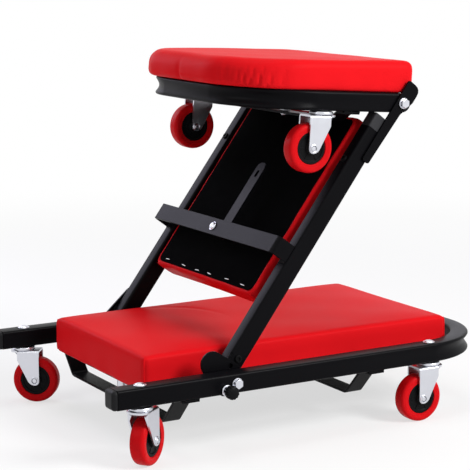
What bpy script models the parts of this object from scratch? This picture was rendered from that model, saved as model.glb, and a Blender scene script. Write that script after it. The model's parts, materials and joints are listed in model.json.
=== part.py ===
# Folding mechanic creeper that stands as a low rolling seat.
# Metres, +Z up, +X towards the closed end of the base frame, origin on the floor under the middle.

from math import asin, atan2, cos, hypot, pi, radians, sin

import bmesh
import bpy
from mathutils import Matrix, Vector

# Whole object
BASE_LENGTH = 0.578
BASE_WIDTH = 0.386
SEAT_LENGTH = 0.232

# Tubes and flat bars
BASE_TUBE_WIDTH = 0.025
BASE_TUBE_HEIGHT = 0.025
FOLD_TUBE_WIDTH = 0.020
FOLD_TUBE_HEIGHT = 0.025
TUBE_WALL = 0.0018
TUBE_CORNER = 0.003
BASE_BEND_RADIUS = 0.110
SEAT_BEND_RADIUS = 0.105
BEND_PINCH = 0.0045
BEND_STEPS = 7
CAP_HEAD = 0.004
CAP_PLUG = 0.014
STOP_BLOCK_HEAD = 0.020

# Hinges, measured from the open ends of the base rails
LOWER_PIVOT_INSET = 0.164
PIVOT_SPAN = 0.4257
PIVOT_LINE_ANGLE = radians(51.4)
UPPER_PIVOT_OFFSET = 0.013
SEAT_TILT = radians(4.1)
SEAT_RAIL_OVERRUN = 0.013
PIVOT_BOLT_RADIUS = 0.004
PIVOT_HEAD_RADIUS = 0.0074
PIVOT_HEAD_HEIGHT = 0.0055
PIVOT_NUT_HEIGHT = 0.0045
PLATE_THICKNESS = 0.003
PIVOT_PLATE_RADIUS = 0.0225
EAR_RADIUS = 0.016
EAR_ALONG = 0.005
EAR_BEHIND = 0.030
FOOT_PLATE_REACH = 0.055
FOOT_PLATE_RADIUS = 0.0115
MID_FOOT_OVERRUN = 0.014
BRACKET_LAP = 0.062
BRACKET_REACH = 0.0295
BRACKET_LIP = 0.005
BRACKET_WAIST = 0.0145
BRACKET_BOSS = 0.012
BRACKET_FLARE_START = 0.015
BRACKET_FLARE_END = 0.008

# Spring locks
LOCK_BEHIND_PIVOT = 0.0155
LOCK_BELOW_PIVOT = 0.0065
LOCK_PIN_RADIUS = 0.003
LOCK_COLLAR_RADIUS = 0.0088
LOCK_COLLAR_LENGTH = 0.008
LOCK_KNOB_RADIUS = 0.0085
LOCK_KNOB_LENGTH = 0.011

# Cross bars
BAR_WIDTH = 0.024
BAR_THICKNESS = 0.0035
BAR_BEND = 0.008
BAR_EDGE_SETBACK = 0.001
BASE_BAR_DROP = 0.0375
BASE_BAR_OPEN_INSET = 0.100
BASE_BAR_CLOSED_INSET = 0.203
BASE_BAR_FLOOR_WIDTH = 0.270
MID_BAR_ALONG = 0.176
MID_BAR_DEPTH = 0.026
SEAT_BAR_ALONG = 0.076
SEAT_BAR_DROP = 0.0115
SEAT_BAR_FLOOR_WIDTH = 0.250
STRAP_LENGTH = 0.119
STRAP_WIDTH = 0.020
STRAP_THICKNESS = 0.003
STRAP_CORNER = 0.002
STRAP_OFFSET = 0.020
STRAP_SLOT_LENGTH = 0.011
STRAP_SLOT_WIDTH = 0.006
POST_RADIUS = 0.0075
POST_BOLT_RADIUS = 0.0038
POST_HEAD_RADIUS = 0.0065
POST_HEAD_HEIGHT = 0.0035
POST_GRIP = 0.006

# Boards and cushions
BOARD_THICKNESS = 0.009
CUSHION_SKIRT = 0.006
CUSHION_HEM = 0.003
CUSHION_DRAW = 0.002
BASE_PAD_INSET = 0.062
BASE_PAD_END_GAP = 0.047
BASE_PAD_SIDE_GAP = 0.032
BASE_PAD_HEIGHT = 0.046
BASE_PAD_CORNER = 0.009
BASE_PAD_SHOULDER = 0.007
BASE_PAD_CROWN = 0.005
MID_PAD_START = 0.110
MID_PAD_LENGTH = 0.275
MID_PAD_SIDE_GAP = 0.0084
MID_PAD_HEIGHT = 0.0370
MID_PAD_CORNER = 0.014
MID_PAD_SHOULDER = 0.010
MID_PAD_CROWN = 0.005
SEAT_PAD_OVERHANG = 0.025
SEAT_PAD_LENGTH = 0.271
SEAT_PAD_SIDE_INSET = 0.0034
SEAT_PAD_HEIGHT = 0.0390
SEAT_PAD_CORNER = 0.016
SEAT_PAD_NOSE = 0.100
SEAT_PAD_SHOULDER = 0.014
SEAT_PAD_CROWN = 0.004
BOARD_BELOW_RAIL = 0.0018
MID_BOARD_BEHIND_RAIL = 0.002

# Casters
CASTER_HEIGHT = 0.0793
WHEEL_RADIUS = 0.03175
WHEEL_WIDTH = 0.020
WHEEL_TRAIL = 0.017
WHEEL_SHOULDER = 0.003
HUB_RADIUS = 0.021
HUB_RECESS = 0.0015
AXLE_RADIUS = 0.004
AXLE_HEAD_RADIUS = 0.0055
AXLE_HEAD_HEIGHT = 0.0015
FORK_SHEET = 0.0025
FORK_SIDE_GAP = 0.0015
FORK_BOSS = 0.0065
FORK_CROWN = 0.0035
FORK_LEADING_EDGE = 0.007
FORK_STRAIGHT = 0.014
FORK_CROWN_RADIUS = 0.0175
RACE_RADIUS = 0.0155
RACE_HEIGHT = 0.0045
STEM_RADIUS = 0.004
STEM_NUT_RADIUS = 0.0065
STEM_NUT_HEIGHT = 0.004
STEM_RIVET_RADIUS = 0.0075
STEM_RIVET_HEIGHT = 0.002
BASE_CASTER_OPEN_INSET = 0.0355
BASE_CASTER_CLOSED_INSET = 0.112
SEAT_CASTER_ALONG = 0.1177
CASTER_SWIVELS = {
    "left_near": radians(217),
    "left_far": radians(143),
    "right_near": radians(0),
    "right_far": radians(12),
}

# Fits
SEAT_GAP = 0.0003
HOLE_CLEARANCE = 0.0004
ROUND_STEPS = 16
BOLT_STEPS = 12
WHEEL_STEPS = 24
OVERSHOOT = 0.002
WELD_DISTANCE = 0.000001

# Places that follow from the sizes
OPEN_END_X = CAP_HEAD - (BASE_LENGTH + CAP_HEAD) / 2
RAIL_BOTTOM = CASTER_HEIGHT
RAIL_AXIS_Z = RAIL_BOTTOM + BASE_TUBE_HEIGHT / 2
BASE_RAIL_Y = (BASE_WIDTH - BASE_TUBE_WIDTH) / 2
BASE_INNER_Y = BASE_WIDTH / 2 - BASE_TUBE_WIDTH
MID_WIDTH = 2 * (BASE_INNER_Y - PLATE_THICKNESS - 2 * SEAT_GAP)
FOLD_RAIL_Y = (MID_WIDTH - FOLD_TUBE_WIDTH) / 2
FOLD_HALF = FOLD_TUBE_HEIGHT / 2
MID_RAIL_ANGLE = PIVOT_LINE_ANGLE + asin(UPPER_PIVOT_OFFSET / PIVOT_SPAN)
UPPER_PIVOT_ALONG = PIVOT_SPAN * cos(MID_RAIL_ANGLE - PIVOT_LINE_ANGLE)
PLATE_Y = MID_WIDTH / 2 + SEAT_GAP + PLATE_THICKNESS / 2
BASE_BAR_INSETS = (BASE_BAR_OPEN_INSET, BASE_LENGTH - BASE_BAR_CLOSED_INSET)
BASE_CASTER_INSETS = (BASE_CASTER_OPEN_INSET, BASE_LENGTH - BASE_CASTER_CLOSED_INSET)
BASE_PAD_LENGTH = BASE_LENGTH - BASE_PAD_INSET - BASE_PAD_END_GAP
BASE_PAD_WIDTH = 2 * (BASE_INNER_Y - BASE_PAD_SIDE_GAP)
MID_PAD_WIDTH = MID_WIDTH - 2 * (FOLD_TUBE_WIDTH + MID_PAD_SIDE_GAP)
SEAT_PAD_WIDTH = MID_WIDTH - 2 * SEAT_PAD_SIDE_INSET

SIDES = {"near": -1, "far": 1}


def clear_scene():
    for item in list(bpy.data.objects):
        bpy.data.objects.remove(item, do_unlink=True)


def make_collection(name):
    group = bpy.data.collections.new(name)
    bpy.context.scene.collection.children.link(group)
    return group


clear_scene()
PARTS = make_collection("folding_creeper")
CUTTERS = make_collection("creeper_cutters")


def make_material(name, colour, roughness, metallic):
    material = bpy.data.materials.new(name)
    material.use_nodes = True
    shader = material.node_tree.nodes["Principled BSDF"]
    shader.inputs["Base Color"].default_value = (*colour, 1)
    shader.inputs["Roughness"].default_value = roughness
    shader.inputs["Metallic"].default_value = metallic
    return material


BLACK_COAT = make_material("black_powder_coat", (0.012, 0.012, 0.014), 0.42, 0.0)
RED_VINYL = make_material("red_vinyl", (0.70, 0.02, 0.03), 0.38, 0.0)
BLACK_BOARD = make_material("black_board", (0.01, 0.01, 0.011), 0.75, 0.0)
BLACK_PLASTIC = make_material("black_plastic", (0.02, 0.02, 0.022), 0.5, 0.0)
ZINC = make_material("bright_zinc", (0.72, 0.73, 0.75), 0.28, 1.0)
RED_WHEEL = make_material("red_polyurethane", (0.78, 0.03, 0.04), 0.35, 0.0)


# Joint axes as empties: everything that folds or swivels is a child of one
def make_axis(name, parent, place, turn):
    axis = bpy.data.objects.new(name, None)
    axis.empty_display_size = 0.02
    axis.parent = parent
    axis.location = place
    axis.rotation_euler = turn
    PARTS.objects.link(axis)
    return axis


LOWER_PIVOT = Vector((OPEN_END_X + LOWER_PIVOT_INSET, 0, RAIL_AXIS_Z))
# Along the rails is local +X, and local +Z points out of the boards' back
MID_HINGE = make_axis("mid_hinge", None, LOWER_PIVOT, (0, -MID_RAIL_ANGLE, 0))
SEAT_HINGE = make_axis(
    "seat_hinge",
    MID_HINGE,
    (UPPER_PIVOT_ALONG, 0, -UPPER_PIVOT_OFFSET),
    (0, MID_RAIL_ANGLE + SEAT_TILT, 0),
)


def add_part(name, mesh, parent, material, place=(0, 0, 0), turn=(0, 0, 0)):
    part = bpy.data.objects.new(name, mesh)
    part.parent = parent
    part.location = place
    part.rotation_euler = turn
    if not mesh.materials:
        mesh.materials.append(material)
    PARTS.objects.link(part)
    return part


def baked_mesh(thing, name):
    # The evaluated shape as one welded mesh with its faces pointing out
    bpy.context.view_layer.update()
    depsgraph = bpy.context.evaluated_depsgraph_get()
    mesh = bpy.data.meshes.new_from_object(thing.evaluated_get(depsgraph))
    mesh.transform(thing.matrix_world)
    mesh.name = name
    work = bmesh.new()
    work.from_mesh(mesh)
    bmesh.ops.remove_doubles(work, verts=work.verts, dist=WELD_DISTANCE)
    bmesh.ops.recalc_face_normals(work, faces=work.faces)
    work.to_mesh(mesh)
    work.free()
    return mesh


def smooth(mesh):
    mesh.shade_smooth()
    mesh.set_sharp_from_angle(angle=radians(35))
    return mesh


def scratch_object(name, data):
    scratch = bpy.data.objects.new(name, data)
    CUTTERS.objects.link(scratch)
    return scratch


# Turned pieces: a profile of (radius, height) points from top to bottom, swept round Z
def turned_mesh(name, profile, steps=ROUND_STEPS, closed=False):
    count = len(profile)
    edges = [(index, index + 1) for index in range(count - 1)]
    if closed:
        edges.append((count - 1, 0))
    mesh = bpy.data.meshes.new(name)
    mesh.from_pydata([(radius, 0, height) for radius, height in profile], edges, [])
    scratch = scratch_object(name + "_profile", mesh)
    screw = scratch.modifiers.new("turn", "SCREW")
    screw.steps = steps
    screw.render_steps = steps
    screw.use_merge_vertices = True
    screw.merge_threshold = WELD_DISTANCE
    solid = baked_mesh(scratch, name)
    bpy.data.objects.remove(scratch)
    return smooth(solid)


def filleted(corners, steps=4):
    # Polygon corners (x, y, radius) with each corner rounded by an arc
    points = []
    for index, (x, y, radius) in enumerate(corners):
        here = Vector((x, y))
        before = Vector(corners[index - 1][:2]) - here
        after = Vector(corners[(index + 1) % len(corners)][:2]) - here
        half = before.angle(after) / 2
        if radius <= 0:
            points.append(here)
            continue
        reach = min(radius / abs(sin(half) / cos(half)), before.length / 2, after.length / 2)
        start = here + before.normalized() * reach
        end = here + after.normalized() * reach
        for step in range(steps + 1):
            share = step / steps
            points.append(start.lerp(here, share).lerp(here.lerp(end, share), share))
    return points


def hull_of_circles(circles, steps=10):
    # Outline of a band stretched round circles (x, y, radius), listed counter-clockwise
    points = []
    for index, (x, y, radius) in enumerate(circles):
        ends = []
        for first, second in ((index - 1, index), (index, (index + 1) % len(circles))):
            x1, y1, r1 = circles[first]
            x2, y2, r2 = circles[second]
            lean = asin((r1 - r2) / hypot(x2 - x1, y2 - y1))
            ends.append(atan2(y2 - y1, x2 - x1) - pi / 2 + lean)
        sweep = (ends[1] - ends[0]) % (2 * pi)
        for step in range(steps + 1):
            angle = ends[0] + sweep * step / steps
            points.append(Vector((x + radius * cos(angle), y + radius * sin(angle))))
    return points


def circle_outline(x, y, radius, steps=BOLT_STEPS):
    turns = [2 * pi * step / steps for step in range(steps)]
    return [Vector((x + radius * cos(turn), y + radius * sin(turn))) for turn in turns]


# Flat outlines with holes, cut from sheet of one thickness
def sheet_mesh(name, outlines, thickness):
    curve = bpy.data.curves.new(name, "CURVE")
    curve.dimensions = "2D"
    curve.fill_mode = "BOTH"
    curve.extrude = thickness / 2
    for outline in outlines:
        spline = curve.splines.new("POLY")
        spline.points.add(len(outline) - 1)
        for point, place in zip(spline.points, outline):
            point.co = (place.x, place.y, 0, 1)
        spline.use_cyclic_u = True
    scratch = scratch_object(name + "_outline", curve)
    mesh = baked_mesh(scratch, name)
    bpy.data.objects.remove(scratch)
    return smooth(mesh)


# Standing the sheet's own XY plane up into the XZ plane
UPRIGHT = (pi / 2, 0, 0)


# Bent strips: a path of (y, z) points swept along X, with the sheet's thickness on one side
def strip_mesh(name, path, width, thickness):
    work = bmesh.new()
    rows = []
    for y, z in path:
        rows.append([work.verts.new((side * width / 2, y, z)) for side in (-1, 1)])
    for first, second in zip(rows, rows[1:]):
        work.faces.new((first[0], first[1], second[1], second[0]))
    mesh = bpy.data.meshes.new(name)
    work.to_mesh(mesh)
    work.free()
    scratch = scratch_object(name + "_strip", mesh)
    shell = scratch.modifiers.new("sheet", "SOLIDIFY")
    shell.thickness = thickness
    shell.offset = -1
    shell.use_even_offset = True
    solid = baked_mesh(scratch, name)
    bpy.data.objects.remove(scratch)
    return smooth(solid)


def rounded_path(corners, radius, steps=4):
    # Open path of (y, z) corners with the inner corners rounded
    points = [corners[0]]
    for before, here, after in zip(corners, corners[1:], corners[2:]):
        middle = Vector(here)
        start = middle + (Vector(before) - middle).normalized() * radius
        end = middle + (Vector(after) - middle).normalized() * radius
        for step in range(steps + 1):
            share = step / steps
            points.append(tuple(start.lerp(middle, share).lerp(middle.lerp(end, share), share)))
    points.append(corners[-1])
    return points


# Rectangular tubes: rings of a rounded section along a path, closed into a wall by Solidify
def tube_ring(width, height, pinch):
    side = width / 2 - TUBE_CORNER
    top = height / 2 - TUBE_CORNER
    ring = []
    for x, y, start in ((side, top, 0), (-side, top, 90), (-side, -top, 180), (side, -top, 270)):
        for step in range(3):
            angle = radians(start + 45 * step)
            ring.append((x + TUBE_CORNER * cos(angle), y + TUBE_CORNER * sin(angle)))
    # The outer wall falls in along the bends, deepest on its middle line
    for level, share in ((-0.6, 0.2), (-0.3, 0.75), (0.0, 1.0), (0.3, 0.75), (0.6, 0.2)):
        ring.append((width / 2 - pinch * share, level * top))
    return ring


def tube_mesh(name, stations, width, height):
    # Each station is (x, y, outward direction angle, pinch share)
    work = bmesh.new()
    rings = []
    for x, y, angle, share in stations:
        ring = []
        for out, up in tube_ring(width, height, BEND_PINCH * share):
            ring.append(work.verts.new((x + out * cos(angle), y + out * sin(angle), up)))
        rings.append(ring)
    for first, second in zip(rings, rings[1:]):
        for index in range(len(first)):
            work.faces.new((first[index - 1], first[index], second[index], second[index - 1]))
    bmesh.ops.recalc_face_normals(work, faces=work.faces)
    mesh = bpy.data.meshes.new(name)
    work.to_mesh(mesh)
    work.free()
    return smooth(mesh)


def add_wall(tube):
    shell = tube.modifiers.new("wall", "SOLIDIFY")
    shell.thickness = TUBE_WALL
    shell.offset = -1
    shell.use_even_offset = True


def u_stations(open_x, closed_x, half_width, bend_radius, tube_width):
    # Centre line of a U in plan: from the near open end round the closed end to the far open end
    direction = 1 if closed_x > open_x else -1
    radius = bend_radius - tube_width / 2
    centre_x = closed_x - direction * bend_radius
    centre_y = half_width - bend_radius
    stations = [(open_x, -(centre_y + radius), -pi / 2, 0)]
    for side, start in ((-1, -pi / 2), (1, 0)):
        for step in range(BEND_STEPS + 1):
            turn = start + (pi / 2) * step / BEND_STEPS
            angle = turn if direction > 0 else pi - turn
            share = sin(pi * step / BEND_STEPS)
            place_x = centre_x + radius * cos(angle)
            place_y = side * centre_y + radius * sin(angle)
            stations.append((place_x, place_y, angle, share))
    stations.append((open_x, centre_y + radius, pi / 2, 0))
    return stations


def drill(target, holes):
    # Holes are (centre, axis letter, radius, length) in the target's own frame
    turns = {"X": Matrix.Rotation(pi / 2, 4, "Y"), "Y": Matrix.Rotation(pi / 2, 4, "X"), "Z": Matrix()}
    work = bmesh.new()
    for centre, axis, radius, length in holes:
        bmesh.ops.create_cone(
            work,
            cap_ends=True,
            segments=BOLT_STEPS,
            radius1=radius,
            radius2=radius,
            depth=length,
            matrix=Matrix.Translation(centre) @ turns[axis],
        )
    mesh = bpy.data.meshes.new(target.name + "_drill")
    work.to_mesh(mesh)
    work.free()
    cutter = bpy.data.objects.new(target.name + "_drill", mesh)
    cutter.parent = target.parent
    cutter.location = target.location
    cutter.rotation_euler = target.rotation_euler
    cutter.hide_render = True
    cutter.display_type = "WIRE"
    CUTTERS.objects.link(cutter)
    cut = target.modifiers.new("holes", "BOOLEAN")
    cut.operation = "DIFFERENCE"
    cut.solver = "EXACT"
    cut.object = cutter


def union_mesh(name, pieces):
    # Joins closed scratch objects into one solid and removes them
    body = pieces[0]
    for index, piece in enumerate(pieces[1:]):
        join = body.modifiers.new(f"join_{index}", "BOOLEAN")
        join.operation = "UNION"
        join.solver = "EXACT"
        join.object = piece
    mesh = baked_mesh(body, name)
    for piece in pieces:
        bpy.data.objects.remove(piece)
    return smooth(mesh)


# Base frame with its caster, hinge and lock holes
def build_base_frame():
    stations = u_stations(
        OPEN_END_X, OPEN_END_X + BASE_LENGTH, BASE_WIDTH / 2, BASE_BEND_RADIUS, BASE_TUBE_WIDTH
    )
    mesh = tube_mesh("base_frame", stations, BASE_TUBE_WIDTH, BASE_TUBE_HEIGHT)
    frame = add_part("base_frame", mesh, None, BLACK_COAT, (0, 0, RAIL_AXIS_Z))
    add_wall(frame)
    holes = []
    through = BASE_TUBE_HEIGHT + 2 * OVERSHOOT
    across = BASE_TUBE_WIDTH + 2 * OVERSHOOT
    for side in SIDES.values():
        for inset in BASE_CASTER_INSETS:
            centre = Vector((OPEN_END_X + inset, side * BASE_RAIL_Y, 0))
            holes.append((centre, "Z", STEM_RADIUS + HOLE_CLEARANCE, through))
        pivot = Vector((LOWER_PIVOT.x, side * BASE_RAIL_Y, 0))
        holes.append((pivot, "Y", PIVOT_BOLT_RADIUS + HOLE_CLEARANCE, across))
        lock = pivot + Vector((-LOCK_BEHIND_PIVOT, 0, -LOCK_BELOW_PIVOT))
        holes.append((lock, "Y", LOCK_PIN_RADIUS + HOLE_CLEARANCE, across))
    drill(frame, holes)


# Plastic ends: a head as large as the tube and a plug that fits inside its walls
def end_cap_mesh(name, width, height, head, plug):
    outline = [
        (side * width / 2, level * height / 2, TUBE_CORNER)
        for side, level in ((1, 1), (-1, 1), (-1, -1), (1, -1))
    ]
    inset = TUBE_WALL + SEAT_GAP
    inner = [
        (side * (width / 2 - inset), level * (height / 2 - inset), TUBE_CORNER - TUBE_WALL)
        for side, level in ((1, 1), (-1, 1), (-1, -1), (1, -1))
    ]
    head_part = scratch_object(name + "_head", sheet_mesh(name, [filleted(outline, 3)], head))
    head_part.location.z = head / 2
    plug_part = scratch_object(name + "_plug", sheet_mesh(name, [filleted(inner, 2)], plug + OVERSHOOT))
    plug_part.location.z = (OVERSHOOT - plug) / 2
    return union_mesh(name, [head_part, plug_part])


def build_end_caps():
    mesh = end_cap_mesh("end_cap", BASE_TUBE_WIDTH, BASE_TUBE_HEIGHT, CAP_HEAD - SEAT_GAP, CAP_PLUG)
    seat_mesh = end_cap_mesh("seat_cap", FOLD_TUBE_WIDTH, FOLD_TUBE_HEIGHT, CAP_HEAD, CAP_PLUG / 2)
    for name, side in SIDES.items():
        place = (OPEN_END_X - SEAT_GAP, side * BASE_RAIL_Y, RAIL_AXIS_Z)
        add_part(f"base_cap_{name}", mesh, None, BLACK_PLASTIC, place, (pi / 2, 0, -pi / 2))
        end = (SEAT_RAIL_OVERRUN + SEAT_GAP, side * FOLD_RAIL_Y, 0)
        add_part(f"seat_cap_{name}", seat_mesh, SEAT_HINGE, BLACK_PLASTIC, end, (pi / 2, 0, pi / 2))


# Flat bars that hang below the rails and carry the boards on posts
def hung_bar_path(rail_outer, rail_inner, floor_half, drop):
    lip = rail_outer - OVERSHOOT
    near_half = [(-lip, 0), (-rail_inner, 0), (-floor_half, -drop)]
    corners = near_half + [(-y, z) for y, z in reversed(near_half)]
    return rounded_path(corners, BAR_BEND / 2)


def post_mesh(name, grip, reach):
    # Bolt with a sleeve: the head lies under a bar of this grip, the sleeve reaches up to the board
    sleeve_low = grip + 2 * SEAT_GAP
    return turned_mesh(
        name,
        [
            (0, reach + POST_GRIP),
            (POST_BOLT_RADIUS, reach + POST_GRIP),
            (POST_BOLT_RADIUS, reach),
            (POST_RADIUS, reach),
            (POST_RADIUS, sleeve_low),
            (POST_BOLT_RADIUS, sleeve_low),
            (POST_BOLT_RADIUS, 0),
            (POST_HEAD_RADIUS, 0),
            (POST_HEAD_RADIUS, -POST_HEAD_HEIGHT * 0.6),
            (POST_HEAD_RADIUS * 0.6, -POST_HEAD_HEIGHT),
            (0, -POST_HEAD_HEIGHT),
        ],
        BOLT_STEPS,
    )


POST_HOLE = POST_BOLT_RADIUS + HOLE_CLEARANCE


def build_base_bars():
    path = hung_bar_path(BASE_WIDTH / 2, BASE_INNER_Y + OVERSHOOT, BASE_BAR_FLOOR_WIDTH / 2, BASE_BAR_DROP)
    mesh = strip_mesh("base_bar", path, BAR_WIDTH, BAR_THICKNESS)
    bar_top = RAIL_BOTTOM - SEAT_GAP
    head_level = bar_top - BASE_BAR_DROP - BAR_THICKNESS - SEAT_GAP
    reach = BASE_BOARD_BOTTOM - SEAT_GAP - head_level
    post = post_mesh("base_post", BAR_THICKNESS, reach)
    for name, inset in zip(("left", "right"), BASE_BAR_INSETS):
        x = OPEN_END_X + inset
        bar = add_part(f"base_bar_{name}", mesh, None, BLACK_COAT, (x, 0, bar_top))
        drill(bar, [(Vector((0, 0, -BASE_BAR_DROP)), "Z", POST_HOLE, 4 * BAR_THICKNESS)])
        add_part(f"base_post_{name}", post, None, ZINC, (x, 0, head_level))


# Mid frame: two rails with hinge plates at the foot and brackets at the head
def stop_block_along():
    # The stop block's back corner stands just under the seat rail at rest
    turn = MID_RAIL_ANGLE + SEAT_TILT
    rise = FOLD_HALF + UPPER_PIVOT_OFFSET
    below = FOLD_HALF + SEAT_GAP
    return UPPER_PIVOT_ALONG - (rise * cos(turn) + below) / sin(turn)


STOP_ALONG = stop_block_along()
MID_RAIL_END = STOP_ALONG - STOP_BLOCK_HEAD - SEAT_GAP


def build_mid_rails():
    stations = [(-MID_FOOT_OVERRUN, 0, -pi / 2, 0), (MID_RAIL_END, 0, -pi / 2, 0)]
    across = FOLD_TUBE_WIDTH + 2 * OVERSHOOT
    block = end_cap_mesh("stop_block", FOLD_TUBE_WIDTH, FOLD_TUBE_HEIGHT, STOP_BLOCK_HEAD, CAP_PLUG)
    for name, side in SIDES.items():
        mesh = tube_mesh(f"mid_rail_{name}", stations, FOLD_TUBE_WIDTH, FOLD_TUBE_HEIGHT)
        rail = add_part(f"mid_rail_{name}", mesh, MID_HINGE, BLACK_COAT, (0, side * FOLD_RAIL_Y, 0))
        add_wall(rail)
        drill(rail, [(Vector((0, 0, 0)), "Y", PIVOT_BOLT_RADIUS + HOLE_CLEARANCE, across)])
        end = (MID_RAIL_END + SEAT_GAP, side * FOLD_RAIL_Y, 0)
        add_part(f"stop_block_{name}", block, MID_HINGE, BLACK_PLASTIC, end, (pi / 2, 0, pi / 2))


def in_mid_frame(x, z, turn=0.0):
    # A point given from the lower pivot in the standing pose, seen in the mid frame's own axes
    angle = MID_RAIL_ANGLE + turn
    return (x * cos(angle) + z * sin(angle), z * cos(angle) - x * sin(angle))


UNFOLD_ANGLE = pi - PIVOT_LINE_ANGLE


def build_hinge_plates():
    # The near plate has a round ear behind the rail, the far one only runs up along its rail
    tips = {
        "near": (EAR_ALONG, EAR_BEHIND, EAR_RADIUS),
        "far": (FOOT_PLATE_REACH, 0, FOOT_PLATE_RADIUS),
    }
    pivot_hole = circle_outline(0, 0, PIVOT_BOLT_RADIUS + HOLE_CLEARANCE)
    holes = [pivot_hole]
    for turn in (0.0, UNFOLD_ANGLE):
        along, behind = in_mid_frame(-LOCK_BEHIND_PIVOT, -LOCK_BELOW_PIVOT, turn)
        holes.append(circle_outline(along, behind, LOCK_PIN_RADIUS + HOLE_CLEARANCE))
    for name, side in SIDES.items():
        outline = hull_of_circles([(0, 0, PIVOT_PLATE_RADIUS), tips[name]])
        mesh = sheet_mesh(f"hinge_plate_{name}", [outline, *holes], PLATE_THICKNESS)
        add_part(f"hinge_plate_{name}", mesh, MID_HINGE, BLACK_COAT, (0, side * PLATE_Y, 0), UPRIGHT)


def build_brackets():
    low = -FOLD_HALF - BRACKET_LIP
    high = low + BRACKET_WAIST
    head = UPPER_PIVOT_ALONG + BRACKET_REACH
    boss = -UPPER_PIVOT_OFFSET - BRACKET_BOSS
    foot = STOP_ALONG - BRACKET_LAP
    corners = [
        (foot, low + TUBE_CORNER, TUBE_CORNER),
        (UPPER_PIVOT_ALONG - BRACKET_FLARE_START, low, BRACKET_BOSS),
        (UPPER_PIVOT_ALONG + BRACKET_FLARE_END, boss, BRACKET_BOSS / 2),
        (head, boss, BRACKET_BOSS),
        (head, high, TUBE_CORNER),
        (foot, high, TUBE_CORNER),
    ]
    pivot_hole = circle_outline(
        UPPER_PIVOT_ALONG, -UPPER_PIVOT_OFFSET, PIVOT_BOLT_RADIUS + HOLE_CLEARANCE
    )
    mesh = sheet_mesh("upper_bracket", [filleted(corners), pivot_hole], PLATE_THICKNESS)
    for name, side in SIDES.items():
        add_part(f"upper_bracket_{name}", mesh, MID_HINGE, BLACK_COAT, (0, side * PLATE_Y, 0), UPRIGHT)


def build_mid_bar():
    outer = MID_WIDTH / 2 - BAR_EDGE_SETBACK
    crest = MID_BAR_DEPTH
    corners = [(-outer, 0), (-outer, crest), (outer, crest), (outer, 0)]
    mesh = strip_mesh("mid_bar", rounded_path(corners, BAR_BEND), BAR_WIDTH, BAR_THICKNESS)
    place = (MID_BAR_ALONG, 0, FOLD_HALF + SEAT_GAP)
    bar = add_part("mid_bar", mesh, MID_HINGE, BLACK_COAT, place)
    drill(bar, [(Vector((0, 0, crest)), "Z", POST_HOLE, 4 * BAR_THICKNESS)])

    # The strap lies against the bar's inner side beside the post and runs up to its slot
    strap_level = FOLD_HALF + SEAT_GAP + crest - BAR_THICKNESS - SEAT_GAP - STRAP_THICKNESS / 2
    tail = -BAR_WIDTH / 2
    tip = tail + STRAP_LENGTH
    half = STRAP_WIDTH / 2
    outline = [
        (tail, -half, STRAP_CORNER),
        (tip, -half, half),
        (tip, half, half),
        (tail, half, STRAP_CORNER),
    ]
    slot_low = tip - 2 * STRAP_SLOT_WIDTH - STRAP_SLOT_LENGTH
    slot_end = STRAP_SLOT_WIDTH / 2
    slot = [
        (slot_low, -slot_end, slot_end),
        (slot_low + STRAP_SLOT_LENGTH, -slot_end, slot_end),
        (slot_low + STRAP_SLOT_LENGTH, slot_end, slot_end),
        (slot_low, slot_end, slot_end),
    ]
    strap = sheet_mesh("mid_strap", [filleted(outline), filleted(slot)], STRAP_THICKNESS)
    add_part("mid_strap", strap, MID_HINGE, BLACK_COAT, (MID_BAR_ALONG, -STRAP_OFFSET, strap_level))

    # The post's head shows on the bar's outer side and its sleeve stands on the board's back
    head_level = FOLD_HALF + 2 * SEAT_GAP + crest
    reach = head_level - MID_BOARD_BACK - SEAT_GAP
    post = post_mesh("mid_post", BAR_THICKNESS, reach)
    add_part("mid_post", post, MID_HINGE, ZINC, (MID_BAR_ALONG, 0, head_level), (pi, 0, 0))


# Seat frame, a smaller U whose open ends turn on the upper pivots
def build_seat_frame():
    stations = u_stations(
        SEAT_RAIL_OVERRUN, -SEAT_LENGTH, MID_WIDTH / 2, SEAT_BEND_RADIUS, FOLD_TUBE_WIDTH
    )
    mesh = tube_mesh("seat_frame", stations, FOLD_TUBE_WIDTH, FOLD_TUBE_HEIGHT)
    frame = add_part("seat_frame", mesh, SEAT_HINGE, BLACK_COAT)
    add_wall(frame)
    holes = []
    across = FOLD_TUBE_WIDTH + 2 * OVERSHOOT
    for side in SIDES.values():
        pivot = Vector((0, side * FOLD_RAIL_Y, 0))
        holes.append((pivot, "Y", PIVOT_BOLT_RADIUS + HOLE_CLEARANCE, across))
        stem = Vector((-SEAT_CASTER_ALONG, side * FOLD_RAIL_Y, -FOLD_HALF))
        holes.append((stem, "Z", STEM_RADIUS + HOLE_CLEARANCE, 2 * OVERSHOOT + TUBE_WALL))
    drill(frame, holes)

    inner = MID_WIDTH / 2 - FOLD_TUBE_WIDTH
    path = hung_bar_path(MID_WIDTH / 2, inner, SEAT_BAR_FLOOR_WIDTH / 2, SEAT_BAR_DROP)
    bar_mesh = strip_mesh("seat_bar", path, BAR_WIDTH, BAR_THICKNESS)
    bar_top = -FOLD_HALF - SEAT_GAP
    bar = add_part("seat_bar", bar_mesh, SEAT_HINGE, BLACK_COAT, (-SEAT_BAR_ALONG, 0, bar_top))
    drill(bar, [(Vector((0, 0, -SEAT_BAR_DROP)), "Z", POST_HOLE, 4 * BAR_THICKNESS)])
    head_level = bar_top - SEAT_BAR_DROP - BAR_THICKNESS - SEAT_GAP
    reach = SEAT_BOARD_BOTTOM - SEAT_GAP - head_level
    post = post_mesh("seat_post", BAR_THICKNESS, reach)
    add_part("seat_post", post, SEAT_HINGE, ZINC, (-SEAT_BAR_ALONG, 0, head_level))


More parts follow.
